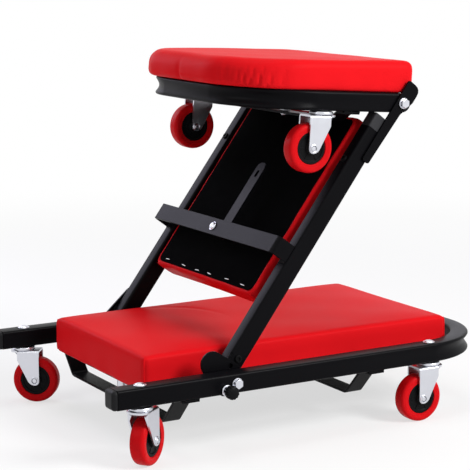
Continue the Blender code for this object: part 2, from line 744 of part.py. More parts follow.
# Pads: a board set into the underside of a crowned cushion
def pad_outline(length, width, corners, inset, steps=6, edge_steps=5):
    # Rounded outline, drawn in a little along each side between its corners
    half_length = length / 2 - inset
    half_width = width / 2 - inset
    signs = ((1, 1), (-1, 1), (-1, -1), (1, -1))
    arcs = []
    for (side_x, side_y), radius, start in zip(signs, corners, (0, 90, 180, 270)):
        rounding = max(radius - inset, TUBE_CORNER)
        centre = Vector((side_x * (half_length - rounding), side_y * (half_width - rounding)))
        angles = [radians(start + 90 * step / steps) for step in range(steps + 1)]
        arcs.append([centre + rounding * Vector((cos(angle), sin(angle))) for angle in angles])
    points = []
    for arc, following in zip(arcs, arcs[1:] + arcs[:1]):
        points.extend(arc)
        run = following[0] - arc[-1]
        inward = Vector((-run.y, run.x)).normalized()
        for step in range(1, edge_steps):
            share = step / edge_steps
            points.append(arc[-1] + run * share + inward * CUSHION_DRAW * sin(pi * share))
    return points


def loft_mesh(name, rings):
    # Rings of (x, y) points at one height each, joined in order and closed at both ends
    work = bmesh.new()
    rows = []
    for points, height in rings:
        rows.append([work.verts.new((point.x, point.y, height)) for point in points])
    for first, second in zip(rows, rows[1:]):
        for index in range(len(first)):
            work.faces.new((first[index - 1], first[index], second[index], second[index - 1]))
    work.faces.new(rows[0])
    work.faces.new(rows[-1])
    bmesh.ops.recalc_face_normals(work, faces=work.faces)
    mesh = bpy.data.meshes.new(name)
    work.to_mesh(mesh)
    work.free()
    return smooth(mesh)


def cushion_mesh(name, length, width, corners, height, shoulder, crown):
    # From the pocket roof over the skirt, up the drawn-in side, round the shoulder to the crown
    def ring(inset, level):
        return (pad_outline(length, width, corners, inset), level)

    pocket = CUSHION_SKIRT
    roof = BOARD_THICKNESS + SEAT_GAP
    wall_top = height - shoulder
    rings = [ring(pocket, roof), ring(pocket, 0), ring(CUSHION_HEM, 0)]
    rings += [ring(0, CUSHION_HEM), ring(0, wall_top)]
    for step in (1, 2, 3):
        angle = radians(30 * step)
        inset = shoulder * (1 - cos(angle))
        rings.append(ring(inset, wall_top + shoulder * sin(angle)))
    reach = width / 2 - shoulder
    for share in (0.2, 0.45, 0.75):
        rise = crown * (1 - (1 - share) ** 2)
        rings.append(ring(shoulder + reach * share, height + rise))
    return loft_mesh(name, rings)


def board_mesh(name, length, width, corners):
    inset = CUSHION_SKIRT + CUSHION_DRAW + SEAT_GAP
    return sheet_mesh(name, [pad_outline(length, width, corners, inset)], BOARD_THICKNESS)


BASE_BOARD_BOTTOM = RAIL_BOTTOM - BOARD_BELOW_RAIL
MID_BOARD_BACK = FOLD_HALF + MID_BOARD_BEHIND_RAIL
SEAT_BOARD_BOTTOM = FOLD_HALF + SEAT_GAP


def build_pad(name, sizes, corners, parent, place, turn, posts):
    # The place is the middle of the board's outer face; posts are (x, y) from there
    length, width, height, shoulder, crown = sizes
    cushion = cushion_mesh(f"{name}_cushion", length, width, corners, height, shoulder, crown)
    add_part(f"{name}_cushion", cushion, parent, RED_VINYL, place, turn)
    sheet = board_mesh(f"{name}_board", length, width, corners)
    for vertex in sheet.vertices:
        vertex.co.z += BOARD_THICKNESS / 2
    board = add_part(f"{name}_board", sheet, parent, BLACK_BOARD, place, turn)
    holes = [(Vector((x, y, 0)), "Z", POST_HOLE, 2 * (POST_GRIP + HOLE_CLEARANCE)) for x, y in posts]
    drill(board, holes)


def build_pads():
    base_middle = OPEN_END_X + BASE_PAD_INSET + BASE_PAD_LENGTH / 2
    posts = [(OPEN_END_X + inset - base_middle, 0) for inset in BASE_BAR_INSETS]
    build_pad(
        "base",
        (BASE_PAD_LENGTH, BASE_PAD_WIDTH, BASE_PAD_HEIGHT, BASE_PAD_SHOULDER, BASE_PAD_CROWN),
        [BASE_PAD_CORNER] * 4,
        None,
        (base_middle, 0, BASE_BOARD_BOTTOM),
        (0, 0, 0),
        posts,
    )
    mid_middle = MID_PAD_START + MID_PAD_LENGTH / 2
    build_pad(
        "mid",
        (MID_PAD_LENGTH, MID_PAD_WIDTH, MID_PAD_HEIGHT, MID_PAD_SHOULDER, MID_PAD_CROWN),
        [MID_PAD_CORNER] * 4,
        MID_HINGE,
        (mid_middle, 0, MID_BOARD_BACK),
        (pi, 0, 0),
        [(MID_BAR_ALONG - mid_middle, 0)],
    )
    seat_middle = SEAT_PAD_OVERHANG - SEAT_PAD_LENGTH / 2
    build_pad(
        "seat",
        (SEAT_PAD_LENGTH, SEAT_PAD_WIDTH, SEAT_PAD_HEIGHT, SEAT_PAD_SHOULDER, SEAT_PAD_CROWN),
        [SEAT_PAD_CORNER, SEAT_PAD_NOSE, SEAT_PAD_NOSE, SEAT_PAD_CORNER],
        SEAT_HINGE,
        (seat_middle, 0, SEAT_BOARD_BOTTOM),
        (0, 0, 0),
        [(-SEAT_BAR_ALONG - seat_middle, 0)],
    )


# Hinge bolts run in from outside: head, shank through the layers, thin nut on the inner face
def pivot_bolt_mesh(name, grip):
    return turned_mesh(
        name,
        [
            (0, PIVOT_HEAD_HEIGHT),
            (PIVOT_HEAD_RADIUS * 0.8, PIVOT_HEAD_HEIGHT),
            (PIVOT_HEAD_RADIUS, PIVOT_HEAD_HEIGHT * 0.8),
            (PIVOT_HEAD_RADIUS, 0),
            (PIVOT_BOLT_RADIUS, 0),
            (PIVOT_BOLT_RADIUS, -grip),
            (PIVOT_HEAD_RADIUS, -grip),
            (PIVOT_HEAD_RADIUS, -grip - PIVOT_NUT_HEIGHT),
            (0, -grip - PIVOT_NUT_HEIGHT),
        ],
        BOLT_STEPS,
    )


def build_pivot_bolts():
    inner = MID_WIDTH / 2 - FOLD_TUBE_WIDTH - SEAT_GAP
    lower_outer = BASE_WIDTH / 2 + SEAT_GAP
    upper_outer = MID_WIDTH / 2 + PLATE_THICKNESS + 2 * SEAT_GAP
    lower = pivot_bolt_mesh("lower_pivot", lower_outer - inner)
    upper = pivot_bolt_mesh("upper_pivot", upper_outer - inner)
    for name, side in SIDES.items():
        facing = (-side * pi / 2, 0, 0)
        place = (LOWER_PIVOT.x, side * lower_outer, LOWER_PIVOT.z)
        add_part(f"lower_pivot_{name}", lower, None, ZINC, place, facing)
        head = (UPPER_PIVOT_ALONG, side * upper_outer, -UPPER_PIVOT_OFFSET)
        add_part(f"upper_pivot_{name}", upper, MID_HINGE, ZINC, head, facing)


# Spring locks beside the lower pivots: a collar on the rail and a pin drawn by its knob
def build_locks():
    bore = LOCK_PIN_RADIUS + HOLE_CLEARANCE
    collar = turned_mesh(
        "lock_collar",
        [
            (bore, LOCK_COLLAR_LENGTH),
            (LOCK_COLLAR_RADIUS * 0.9, LOCK_COLLAR_LENGTH),
            (LOCK_COLLAR_RADIUS, LOCK_COLLAR_LENGTH * 0.8),
            (LOCK_COLLAR_RADIUS, 0),
            (bore, 0),
        ],
        closed=True,
    )
    outer = BASE_WIDTH / 2 + SEAT_GAP
    tip = PLATE_Y + PLATE_THICKNESS / 2 + SEAT_GAP - outer
    knob_low = LOCK_COLLAR_LENGTH + SEAT_GAP
    knob_high = knob_low + LOCK_KNOB_LENGTH
    pin = turned_mesh(
        "lock_pin",
        [
            (0, knob_high),
            (LOCK_KNOB_RADIUS * 0.6, knob_high),
            (LOCK_KNOB_RADIUS, knob_high - LOCK_KNOB_RADIUS * 0.35),
            (LOCK_KNOB_RADIUS, knob_low + LOCK_KNOB_RADIUS * 0.3),
            (LOCK_KNOB_RADIUS * 0.8, knob_low),
            (LOCK_PIN_RADIUS, knob_low),
            (LOCK_PIN_RADIUS, tip),
            (0, tip),
        ],
    )
    for name, side in SIDES.items():
        place = (LOWER_PIVOT.x - LOCK_BEHIND_PIVOT, side * outer, LOWER_PIVOT.z - LOCK_BELOW_PIVOT)
        facing = (-side * pi / 2, 0, 0)
        add_part(f"lock_collar_{name}", collar, None, ZINC, place, facing)
        add_part(f"lock_pin_{name}", pin, None, BLACK_PLASTIC, place, facing)


# Casters: a stem with its race, a swivelling fork that carries the axle, and a wheel
AXLE_DROP = CASTER_HEIGHT - WHEEL_RADIUS
CROWN_TOP = -RACE_HEIGHT - 2 * SEAT_GAP
CROWN_BOTTOM = CROWN_TOP - FORK_CROWN


def caster_stem_mesh(name, grip):
    # The nut lies on the inner or upper face of what the stem grips
    nut_low = grip + SEAT_GAP
    race_top = -SEAT_GAP
    rivet_top = CROWN_BOTTOM - SEAT_GAP
    return turned_mesh(
        name,
        [
            (0, nut_low + STEM_NUT_HEIGHT),
            (STEM_NUT_RADIUS * 0.6, nut_low + STEM_NUT_HEIGHT),
            (STEM_NUT_RADIUS, nut_low + STEM_NUT_HEIGHT / 2),
            (STEM_NUT_RADIUS, nut_low),
            (STEM_RADIUS, nut_low),
            (STEM_RADIUS, race_top),
            (RACE_RADIUS, race_top),
            (RACE_RADIUS, race_top - RACE_HEIGHT),
            (STEM_RADIUS, race_top - RACE_HEIGHT),
            (STEM_RADIUS, rivet_top),
            (STEM_RIVET_RADIUS, rivet_top),
            (STEM_RIVET_RADIUS, rivet_top - STEM_RIVET_HEIGHT),
            (0, rivet_top - STEM_RIVET_HEIGHT),
        ],
        BOLT_STEPS,
    )


def fork_mesh():
    inner = WHEEL_WIDTH / 2 + FORK_SIDE_GAP
    outer = inner + FORK_SHEET
    trailing = -WHEEL_TRAIL - FORK_BOSS
    crown_middle = (CROWN_TOP + CROWN_BOTTOM) / 2

    # The crown is square behind, round in front, and bored for the stem
    crown_outline = [
        (FORK_CROWN_RADIUS, -outer, outer),
        (FORK_CROWN_RADIUS, outer, outer),
        (trailing, outer, FORK_SHEET),
        (trailing, -outer, FORK_SHEET),
    ]
    bore = circle_outline(0, 0, STEM_RADIUS + HOLE_CLEARANCE)
    crown_sheet = sheet_mesh("fork_crown", [filleted(crown_outline, 2), bore], FORK_CROWN)
    crown = scratch_object("fork_crown", crown_sheet)
    crown.location.z = crown_middle
    pieces = [crown]

    # Each leg: upright behind, slanting in front, round at the axle
    boss_low = -AXLE_DROP - FORK_BOSS
    leg_outline = [
        (trailing, crown_middle, 0),
        (trailing, boss_low, FORK_BOSS),
        (-WHEEL_TRAIL + FORK_BOSS, boss_low, FORK_BOSS),
        (FORK_LEADING_EDGE, CROWN_TOP - FORK_STRAIGHT, FORK_BOSS),
        (FORK_LEADING_EDGE, crown_middle, 0),
    ]
    leg = sheet_mesh("fork_leg", [filleted(leg_outline, 3)], FORK_SHEET)
    for side in (-1, 1):
        plate = scratch_object(f"fork_leg_{side}", leg)
        plate.rotation_euler = UPRIGHT
        plate.location = (0, side * (inner + FORK_SHEET / 2), 0)
        pieces.append(plate)

    length = outer + AXLE_HEAD_HEIGHT
    axle = turned_mesh(
        "fork_axle",
        [
            (0, length),
            (AXLE_HEAD_RADIUS, length),
            (AXLE_HEAD_RADIUS, outer - FORK_SHEET / 2),
            (AXLE_RADIUS, outer - FORK_SHEET / 2),
            (AXLE_RADIUS, FORK_SHEET / 2 - outer),
            (AXLE_HEAD_RADIUS, FORK_SHEET / 2 - outer),
            (AXLE_HEAD_RADIUS, -length),
            (0, -length),
        ],
        BOLT_STEPS,
    )
    pin = scratch_object("fork_axle", axle)
    pin.rotation_euler = UPRIGHT
    pin.location = (-WHEEL_TRAIL, 0, -AXLE_DROP)
    pieces.append(pin)
    return union_mesh("caster_fork", pieces)


def wheel_mesh():
    # Tread with round shoulders and a hub that is set in a little on both faces
    half = WHEEL_WIDTH / 2
    hub = half - HUB_RECESS
    side = [
        (AXLE_RADIUS + HOLE_CLEARANCE, hub),
        (HUB_RADIUS, hub),
        (HUB_RADIUS, half),
        (WHEEL_RADIUS - WHEEL_SHOULDER, half),
        (WHEEL_RADIUS - WHEEL_SHOULDER * 0.3, half - WHEEL_SHOULDER * 0.3),
        (WHEEL_RADIUS, half - WHEEL_SHOULDER),
    ]
    profile = side + [(radius, -height) for radius, height in reversed(side)]
    return turned_mesh("caster_wheel", profile, WHEEL_STEPS, closed=True)


def build_casters():
    rail_stem = caster_stem_mesh("rail_stem", BASE_TUBE_HEIGHT)
    seat_stem = caster_stem_mesh("seat_stem", TUBE_WALL)
    fork = fork_mesh()
    wheel = wheel_mesh()
    spots = []
    for end, inset in zip(("left", "right"), BASE_CASTER_INSETS):
        for side_name, side in SIDES.items():
            place = (OPEN_END_X + inset, side * BASE_RAIL_Y, RAIL_BOTTOM)
            spots.append((f"{end}_{side_name}", None, place, rail_stem))
    for side_name, side in SIDES.items():
        place = (-SEAT_CASTER_ALONG, side * FOLD_RAIL_Y, -FOLD_HALF)
        spots.append((f"seat_{side_name}", SEAT_HINGE, place, seat_stem))
    for name, parent, place, stem in spots:
        add_part(f"caster_stem_{name}", stem, parent, ZINC, place)
        swivel = make_axis(f"caster_swivel_{name}", parent, place, (0, 0, CASTER_SWIVELS.get(name, 0.0)))
        add_part(f"caster_fork_{name}", fork, swivel, ZINC)
        hub = (-WHEEL_TRAIL, 0, -AXLE_DROP)
        add_part(f"caster_wheel_{name}", wheel, swivel, RED_WHEEL, hub, UPRIGHT)


build_base_frame()
build_end_caps()
build_base_bars()
build_mid_rails()
build_hinge_plates()
build_brackets()
build_mid_bar()
build_seat_frame()
build_pads()
build_pivot_bolts()
build_locks()
build_casters()
print("nodes", len([item for item in PARTS.objects if item.type == "MESH"]))
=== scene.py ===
import json
from math import asin, atan2, cos, exp, hypot, pi, radians, sin

import bmesh
import bpy
import numpy
from mathutils import Matrix, Vector


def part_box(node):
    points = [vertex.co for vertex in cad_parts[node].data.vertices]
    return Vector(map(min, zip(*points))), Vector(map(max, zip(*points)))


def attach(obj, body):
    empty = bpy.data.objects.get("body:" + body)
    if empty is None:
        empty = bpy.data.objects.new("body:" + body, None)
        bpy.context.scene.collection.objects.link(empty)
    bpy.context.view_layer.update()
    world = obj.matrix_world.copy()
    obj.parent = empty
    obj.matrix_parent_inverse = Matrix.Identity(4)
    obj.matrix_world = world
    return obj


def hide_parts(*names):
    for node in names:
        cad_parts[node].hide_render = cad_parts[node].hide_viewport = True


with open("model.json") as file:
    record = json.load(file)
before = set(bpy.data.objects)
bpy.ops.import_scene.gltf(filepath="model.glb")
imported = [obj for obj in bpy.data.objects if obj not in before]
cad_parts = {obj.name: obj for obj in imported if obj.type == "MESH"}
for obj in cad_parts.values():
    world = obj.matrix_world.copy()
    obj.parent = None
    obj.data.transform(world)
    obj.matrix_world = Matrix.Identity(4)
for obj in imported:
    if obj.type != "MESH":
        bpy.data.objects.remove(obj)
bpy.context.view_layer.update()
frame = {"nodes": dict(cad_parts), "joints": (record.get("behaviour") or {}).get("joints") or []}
joints = {joint["name"]: joint for joint in frame["joints"]}
print("frame loaded:", len(frame["nodes"]), "nodes")

# where the folding sections stand, read from the hinges
fold = {"railOffset": 0.013, "seatTilt": radians(4.1)}
lowerPivot = Vector(joints["mid_fold"]["pos_m"])
upperPivot = Vector(joints["seat_fold"]["pos_m"])
pivotLine = upperPivot - lowerPivot
railAngle = atan2(pivotLine.z, pivotLine.x) + asin(fold["railOffset"] / pivotLine.length)
basePlace = Matrix.Identity(4)
midPlace = Matrix.Translation(lowerPivot) @ Matrix.Rotation(-railAngle, 4, "Y")  # +X up the rails
midFront = midPlace @ Matrix.Rotation(pi, 4, "X")  # the same turned over, +Z out of the cushion
seatPlace = Matrix.Translation(upperPivot) @ Matrix.Rotation(fold["seatTilt"], 4, "Y")  # -X to the free end
sides = {"near": -1, "far": 1}

tube = {"baseWidth": 0.025, "foldWidth": 0.020, "height": 0.025, "corner": 0.003, "wall": 0.0018,
        "cornerSteps": 4, "sideSteps": 12, "bendSteps": 28}
baseLow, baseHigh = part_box("base_frame")
baseRailY = baseHigh.y - tube["baseWidth"] / 2
railZ = (baseLow.z + baseHigh.z) / 2
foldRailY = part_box("mid_rail_far")[1].y - tube["foldWidth"] / 2
foldOuterY = foldRailY + tube["foldWidth"] / 2


# small helpers for working as by hand

atEnd = 0.9  # share of a length past which an edge counts as being at its end
onePoint = 0.00001  # points closer than this are merged
turnSteps = {"thin": 20, "small": 28, "middle": 32, "large": 48, "wheel": 72}
smoothUpTo = {"turned": 35, "edge": 40, "thread": 60}  # degrees
quarterTurn = [radians(angle) for angle in range(0, 91, 15)]


def letGo():
    if bpy.context.mode != "OBJECT":
        bpy.ops.object.mode_set(mode="OBJECT")
    bpy.ops.object.select_all(action="DESELECT")


def takeHold(*pieces):
    letGo()
    for piece in pieces:
        piece.select_set(True)
    bpy.context.view_layer.objects.active = pieces[0]


def added():
    return bpy.context.active_object


def editAll(piece):
    # leaves edit mode on with everything picked
    takeHold(piece)
    bpy.ops.object.mode_set(mode="EDIT")
    bpy.ops.mesh.select_all(action="SELECT")


def editDone():
    bpy.ops.object.mode_set(mode="OBJECT")


def pickStart(piece, kind):
    takeHold(piece)
    bpy.ops.object.mode_set(mode="EDIT")
    bpy.ops.mesh.select_mode(type=kind)
    bpy.ops.mesh.select_all(action="DESELECT")
    return bmesh.from_edit_mesh(piece.data)


def pickVerts(piece, test):
    work = pickStart(piece, "VERT")
    for vert in work.verts:
        vert.select_set(test(vert.co))
    work.select_flush_mode()
    bmesh.update_edit_mesh(piece.data)


def pickEdges(piece, test):
    # leaves edit mode on with only the edges picked whose two ends pass the test
    work = pickStart(piece, "EDGE")
    for edge in work.edges:
        edge.select_set(test(edge.verts[0].co, edge.verts[1].co))
    bmesh.update_edit_mesh(piece.data)


def bevelPicked(offset, segments, affect="EDGES"):
    bpy.ops.mesh.bevel(offset=offset, segments=segments, affect=affect)
    editDone()


def applyAll(piece):
    takeHold(piece)
    for modifier in list(piece.modifiers):
        bpy.ops.object.modifier_apply(modifier=modifier.name)


def settle(piece):
    takeHold(piece)
    bpy.ops.object.transform_apply(location=True, rotation=True, scale=True)


def tidyNormals(piece):
    editAll(piece)
    bpy.ops.mesh.remove_doubles(threshold=onePoint)
    bpy.ops.mesh.normals_make_consistent(inside=False)
    editDone()


def smoothAs(piece, kind):
    takeHold(piece)
    bpy.ops.object.shade_smooth_by_angle(angle=radians(smoothUpTo[kind]))


def joined(pieces, name):
    takeHold(*pieces)
    if len(pieces) > 1:
        bpy.ops.object.join()
    piece = added()
    piece.name = name
    return piece


def fresh(name, data):
    piece = bpy.data.objects.new(name, data)
    bpy.context.scene.collection.objects.link(piece)
    return piece


def copied(piece, name):
    twin = piece.copy()
    twin.data = piece.data.copy()
    twin.name = name
    bpy.context.scene.collection.objects.link(twin)
    return twin


def rounded(piece, width, segments=2, angle=35):
    # breaks every edge sharper than the angle
    rounding = piece.modifiers.new("brokenEdge", "BEVEL")
    rounding.width = width
    rounding.segments = segments
    rounding.limit_method = "ANGLE"
    rounding.angle_limit = radians(angle)
    rounding.use_clamp_overlap = True
    applyAll(piece)
    smoothAs(piece, "edge")
    even = piece.modifiers.new("evenShade", "WEIGHTED_NORMAL")
    even.keep_sharp = True
    applyAll(piece)
    return piece


def thickened(piece, thickness):
    # gives an open sheet its thickness, inwards
    wall = piece.modifiers.new("wall", "SOLIDIFY")
    wall.thickness = thickness
    wall.offset = -1
    wall.use_even_offset = True
    applyAll(piece)


def block(name, size, place):
    letGo()
    bpy.ops.mesh.primitive_cube_add(size=1, location=place, scale=size)
    piece = added()
    piece.name = name
    settle(piece)
    return piece


def turned(name, profile, steps, closed=False):
    # (radius, height) points spun once round Z
    edges = [(index, index + 1) for index in range(len(profile) - 1)]
    if closed:
        edges.append((len(profile) - 1, 0))
    mesh = bpy.data.meshes.new(name)
    mesh.from_pydata([(radius, 0, height) for radius, height in profile], edges, [])
    piece = fresh(name, mesh)
    editAll(piece)
    bpy.ops.mesh.spin(steps=steps, angle=2 * pi, center=(0, 0, 0), axis=(0, 0, 1))
    editDone()
    tidyNormals(piece)
    smoothAs(piece, "turned")
    return piece


def lineCurve(name, points, dimensions):
    # a curve that runs straight from point to point
    curve = bpy.data.curves.new(name, "CURVE")
    curve.dimensions = dimensions
    spline = curve.splines.new("POLY")
    spline.points.add(len(points) - 1)
    for point, spot in zip(spline.points, points):
        point.co = (*spot, 1)
    return curve


def madeMesh(piece):
    takeHold(piece)
    bpy.ops.object.convert(target="MESH")
    return added()


def outwards(side):
    # turns what stands along Z to point out of the near or the far side
    return Matrix.Rotation(-side * pi / 2, 4, "X")


def spanOf(node, turn):
    # lowest and highest corner of a CAD node's box, measured along a turned frame
    back = turn.inverted()
    spots = [back @ vertex.co for vertex in frame["nodes"][node].data.vertices]
    low = Vector([min(spot[axis] for spot in spots) for axis in range(3)])
    high = Vector([max(spot[axis] for spot in spots) for axis in range(3)])
    return low, high


def standOn(node, turn):
    # the middle of a node's lower face in its turned frame, and the node's size
    low, high = spanOf(node, turn)
    return turn @ Matrix.Translation(((low.x + high.x) / 2, (low.y + high.y) / 2, low.z)), high - low


def putOn(piece, name, body, material, place=None, standsFor=None):
    # the piece's place goes into its mesh, then it rides on its body
    settle(piece)
    piece.name = name
    piece.data.name = name
    if place is not None:
        piece.data.transform(place)
    piece.data.materials.clear()
    piece.data.materials.append(material)
    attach(piece, body)
    if standsFor:
        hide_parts(standsFor)


def putCopy(pattern, name, *fitting):
    putOn(copied(pattern, name), name, *fitting)


# short cuts for shader nodes

def addNode(tree, kind, **values):
    node = tree.nodes.new(kind)
    for label, value in values.items():
        setattr(node, label, value)
    return node


def setInputs(node, values):
    for label, value in values.items():
        node.inputs[label].default_value = value


def mathNode(tree, operation, first, second):
    node = addNode(tree, "ShaderNodeMath", operation=operation)
    for socket, value in zip(node.inputs, (first, second)):
        if isinstance(value, (int, float)):
            socket.default_value = value
        else:
            tree.links.new(value, socket)
    return node.outputs[0]


# camera and studio

shot = {"place": (-1.1245, -1.9364, 0.6292), "azimuth": -29.82, "elevation": 9.88, "roll": -0.3,
        "focal": 1669.74, "frame": 470, "sensor": 36, "farthest": 50}
plainWhite, coolWhite = (1.0, 1.0, 1.0), (0.80, 0.77, 1.0)
studio = {
    "worldGrey": 0.25,
    "floorSize": 40,
    "floorLevel": -0.0002,
    "floorTone": 0.90,
    "floorGlow": (0.66, 1.0),  # under the object, and far away
    "floorFade": (0.55, 2.2),
    "target": (0, 0, 0.22),
    "lamps": (  # name, place, size, power, colour
        ("keyLamp", (1.2, -2.2, 1.8), 1.2, 81, plainWhite),
        ("leftLamp", (-2.3, -0.3, 1.7), 1.2, 9, plainWhite),
        ("topLamp", (0.0, 0.2, 2.5), 1.4, 15, plainWhite),
        ("backLamp", (-0.52, 1.31, 0.92), 0.9, 7, coolWhite),
        ("tailLamp", (1.13, 1.12, 0.50), 0.6, 0.5, coolWhite),
    ),
}


def setCamera():
    camera = bpy.data.cameras.new("shotCamera")
    camera.sensor_width = shot["sensor"]
    camera.lens = shot["focal"] / shot["frame"] * camera.sensor_width
    camera.clip_end = shot["farthest"]
    holder = fresh("shotCamera", camera)
    turn = Matrix.Rotation(radians(shot["azimuth"]), 4, "Z")
    turn = turn @ Matrix.Rotation(radians(90 - shot["elevation"]), 4, "X")
    turn = turn @ Matrix.Rotation(radians(shot["roll"]), 4, "Z")
    holder.matrix_world = Matrix.Translation(shot["place"]) @ turn
    bpy.context.scene.camera = holder


def seenStraight(tree):
    # 1 where a ray comes from the camera, a gloss or a clear surface
    path = addNode(tree, "ShaderNodeLightPath")
    seen = mathNode(tree, "MAXIMUM", path.outputs["Is Camera Ray"], path.outputs["Is Glossy Ray"])
    return mathNode(tree, "MAXIMUM", seen, path.outputs["Is Transmission Ray"])


def showMix(tree, share, first, second, outKind):
    # shows the second shader for its share and the first for the rest
    mix = addNode(tree, "ShaderNodeMixShader")
    for socket, value in zip(mix.inputs, (share, first.outputs[0], second.outputs[0])):
        tree.links.new(value, socket)
    tree.links.new(mix.outputs[0], addNode(tree, outKind).inputs[0])


def setWorld():
    scene = bpy.context.scene
    scene.view_settings.view_transform = "Standard"
    world = bpy.data.worlds.new("studioWorld")
    scene.world = world
    world.use_nodes = True
    tree = world.node_tree
    tree.nodes.clear()
    dim = addNode(tree, "ShaderNodeBackground")
    setInputs(dim, {"Color": (*plainWhite, 1), "Strength": studio["worldGrey"]})
    bright = addNode(tree, "ShaderNodeBackground")
    setInputs(bright, {"Color": (*plainWhite, 1)})
    showMix(tree, seenStraight(tree), dim, bright, "ShaderNodeOutputWorld")


def setFloor():
    letGo()
    bpy.ops.mesh.primitive_plane_add(size=studio["floorSize"], location=(0, 0, studio["floorLevel"]))
    floor = added()
    floor.name = "studioFloor"
    paint = bpy.data.materials.new("studioFloor")
    paint.use_nodes = True
    tree = paint.node_tree
    tree.nodes.clear()
    matte = addNode(tree, "ShaderNodeBsdfDiffuse")
    setInputs(matte, {"Color": (studio["floorTone"],) * 3 + (1,)})
    glow = addNode(tree, "ShaderNodeEmission")
    setInputs(glow, {"Color": (*plainWhite, 1)})
    coords = addNode(tree, "ShaderNodeTexCoord")
    reach = addNode(tree, "ShaderNodeVectorMath", operation="LENGTH")
    tree.links.new(coords.outputs["Object"], reach.inputs[0])
    fade = addNode(tree, "ShaderNodeMapRange", interpolation_type="SMOOTHSTEP")
    limits = ("From Min", "From Max", "To Min", "To Max")
    setInputs(fade, dict(zip(limits, studio["floorFade"] + studio["floorGlow"])))
    tree.links.new(reach.outputs["Value"], fade.inputs["Value"])
    share = mathNode(tree, "MULTIPLY", seenStraight(tree), fade.outputs["Result"])
    showMix(tree, share, matte, glow, "ShaderNodeOutputMaterial")
    floor.data.materials.append(paint)


def setLamps():
    target = Vector(studio["target"])
    for name, place, size, power, colour in studio["lamps"]:
        lamp = bpy.data.lights.new(name, "AREA")
        lamp.shape = "DISK"
        lamp.size = size
        lamp.energy = power
        lamp.color = colour
        holder = fresh(name, lamp)
        holder.location = place
        holder.visible_camera = False
        holder.rotation_euler = (target - Vector(place)).to_track_quat("-Z", "Y").to_euler()


setCamera()
setWorld()
setFloor()
setLamps()
print("camera and studio set")


# shared surface effects, each a node group placed in the materials that use it

def newGroup(name, inputs, output):
    group = bpy.data.node_groups.new(name, "ShaderNodeTree")
    for label, value in inputs:
        socket = group.interface.new_socket(label, in_out="INPUT", socket_type="NodeSocketFloat")
        socket.default_value = value
    group.interface.new_socket(output, in_out="OUTPUT", socket_type="NodeSocketFloat")
    entry = group.nodes.new("NodeGroupInput")
    leave = group.nodes.new("NodeGroupOutput")
    return group, entry, leave


def groupTexture(group, entry, kind, **settings):
    # a texture on object coordinates, at the scale the group is given
    texture = addNode(group, kind, **settings)
    coords = addNode(group, "ShaderNodeTexCoord")
    group.links.new(coords.outputs["Object"], texture.inputs["Vector"])
    group.links.new(entry.outputs["Scale"], texture.inputs["Scale"])
    return texture


def makeMottle():
    # soft cloudy patches, 0 to 1 around a half
    group, entry, leave = newGroup("softMottle", (("Scale", 20.0), ("Contrast", 1.0)), "Mask")
    cloud = groupTexture(group, entry, "ShaderNodeTexNoise")
    setInputs(cloud, {"Detail": 4})
    centred = mathNode(group, "SUBTRACT", cloud.outputs["Fac"], 0.5)
    scaled = mathNode(group, "MULTIPLY", centred, entry.outputs["Contrast"])
    group.links.new(mathNode(group, "ADD", scaled, 0.5), leave.inputs["Mask"])
    return group


def makeGrain():
    # pebbled skin of moulded or pressed vinyl: rounded cells with fine creases
    group, entry, leave = newGroup("pebbleGrain", (("Scale", 700.0), ("Crease", 0.5)), "Height")
    cells = groupTexture(group, entry, "ShaderNodeTexVoronoi", feature="SMOOTH_F1")
    fine = groupTexture(group, entry, "ShaderNodeTexNoise")
    setInputs(fine, {"Detail": 3})
    creased = mathNode(group, "MULTIPLY", fine.outputs["Fac"], entry.outputs["Crease"])
    group.links.new(mathNode(group, "SUBTRACT", creased, cells.outputs["Distance"]), leave.inputs["Height"])
    return group


mottle = makeMottle()
grain = makeGrain()


def finish(name, colour, roughness, patches, tone, spread=0.1, metallic=0.0, specular=0.5, bump=None):
    # a base colour and roughness that drift in soft patches, and a fine bump
    material = bpy.data.materials.new(name)
    material.use_nodes = True
    tree = material.node_tree
    shader = tree.nodes["Principled BSDF"]
    setInputs(shader, {"Metallic": metallic, "Specular IOR Level": specular})
    cloud = addNode(tree, "ShaderNodeGroup", node_tree=mottle)
    setInputs(cloud, {"Scale": patches[0], "Contrast": patches[1]})
    drift = addNode(tree, "ShaderNodeMapRange")
    setInputs(drift, {"To Min": roughness - spread, "To Max": roughness + spread})
    tree.links.new(cloud.outputs["Mask"], drift.inputs["Value"])
    tree.links.new(drift.outputs["Result"], shader.inputs["Roughness"])
    tint = addNode(tree, "ShaderNodeMix", data_type="RGBA")
    ends = {"A": 1 - tone, "B": 1 + tone}
    for socket in tint.inputs:
        if socket.name in ends and socket.type == "RGBA":
            socket.default_value = (*(channel * ends[socket.name] for channel in colour), 1)
    tree.links.new(cloud.outputs["Mask"], tint.inputs["Factor"])
    mixed = next(socket for socket in tint.outputs if socket.type == "RGBA")
    tree.links.new(mixed, shader.inputs["Base Color"])
    if bump:
        scale, crease, strength, depth = bump
        skin = addNode(tree, "ShaderNodeGroup", node_tree=grain)
        setInputs(skin, {"Scale": scale, "Crease": crease})
        press = addNode(tree, "ShaderNodeBump")
        setInputs(press, {"Strength": strength, "Distance": depth})
        tree.links.new(skin.outputs["Height"], press.inputs["Height"])
        tree.links.new(press.outputs["Normal"], shader.inputs["Normal"])
    return material


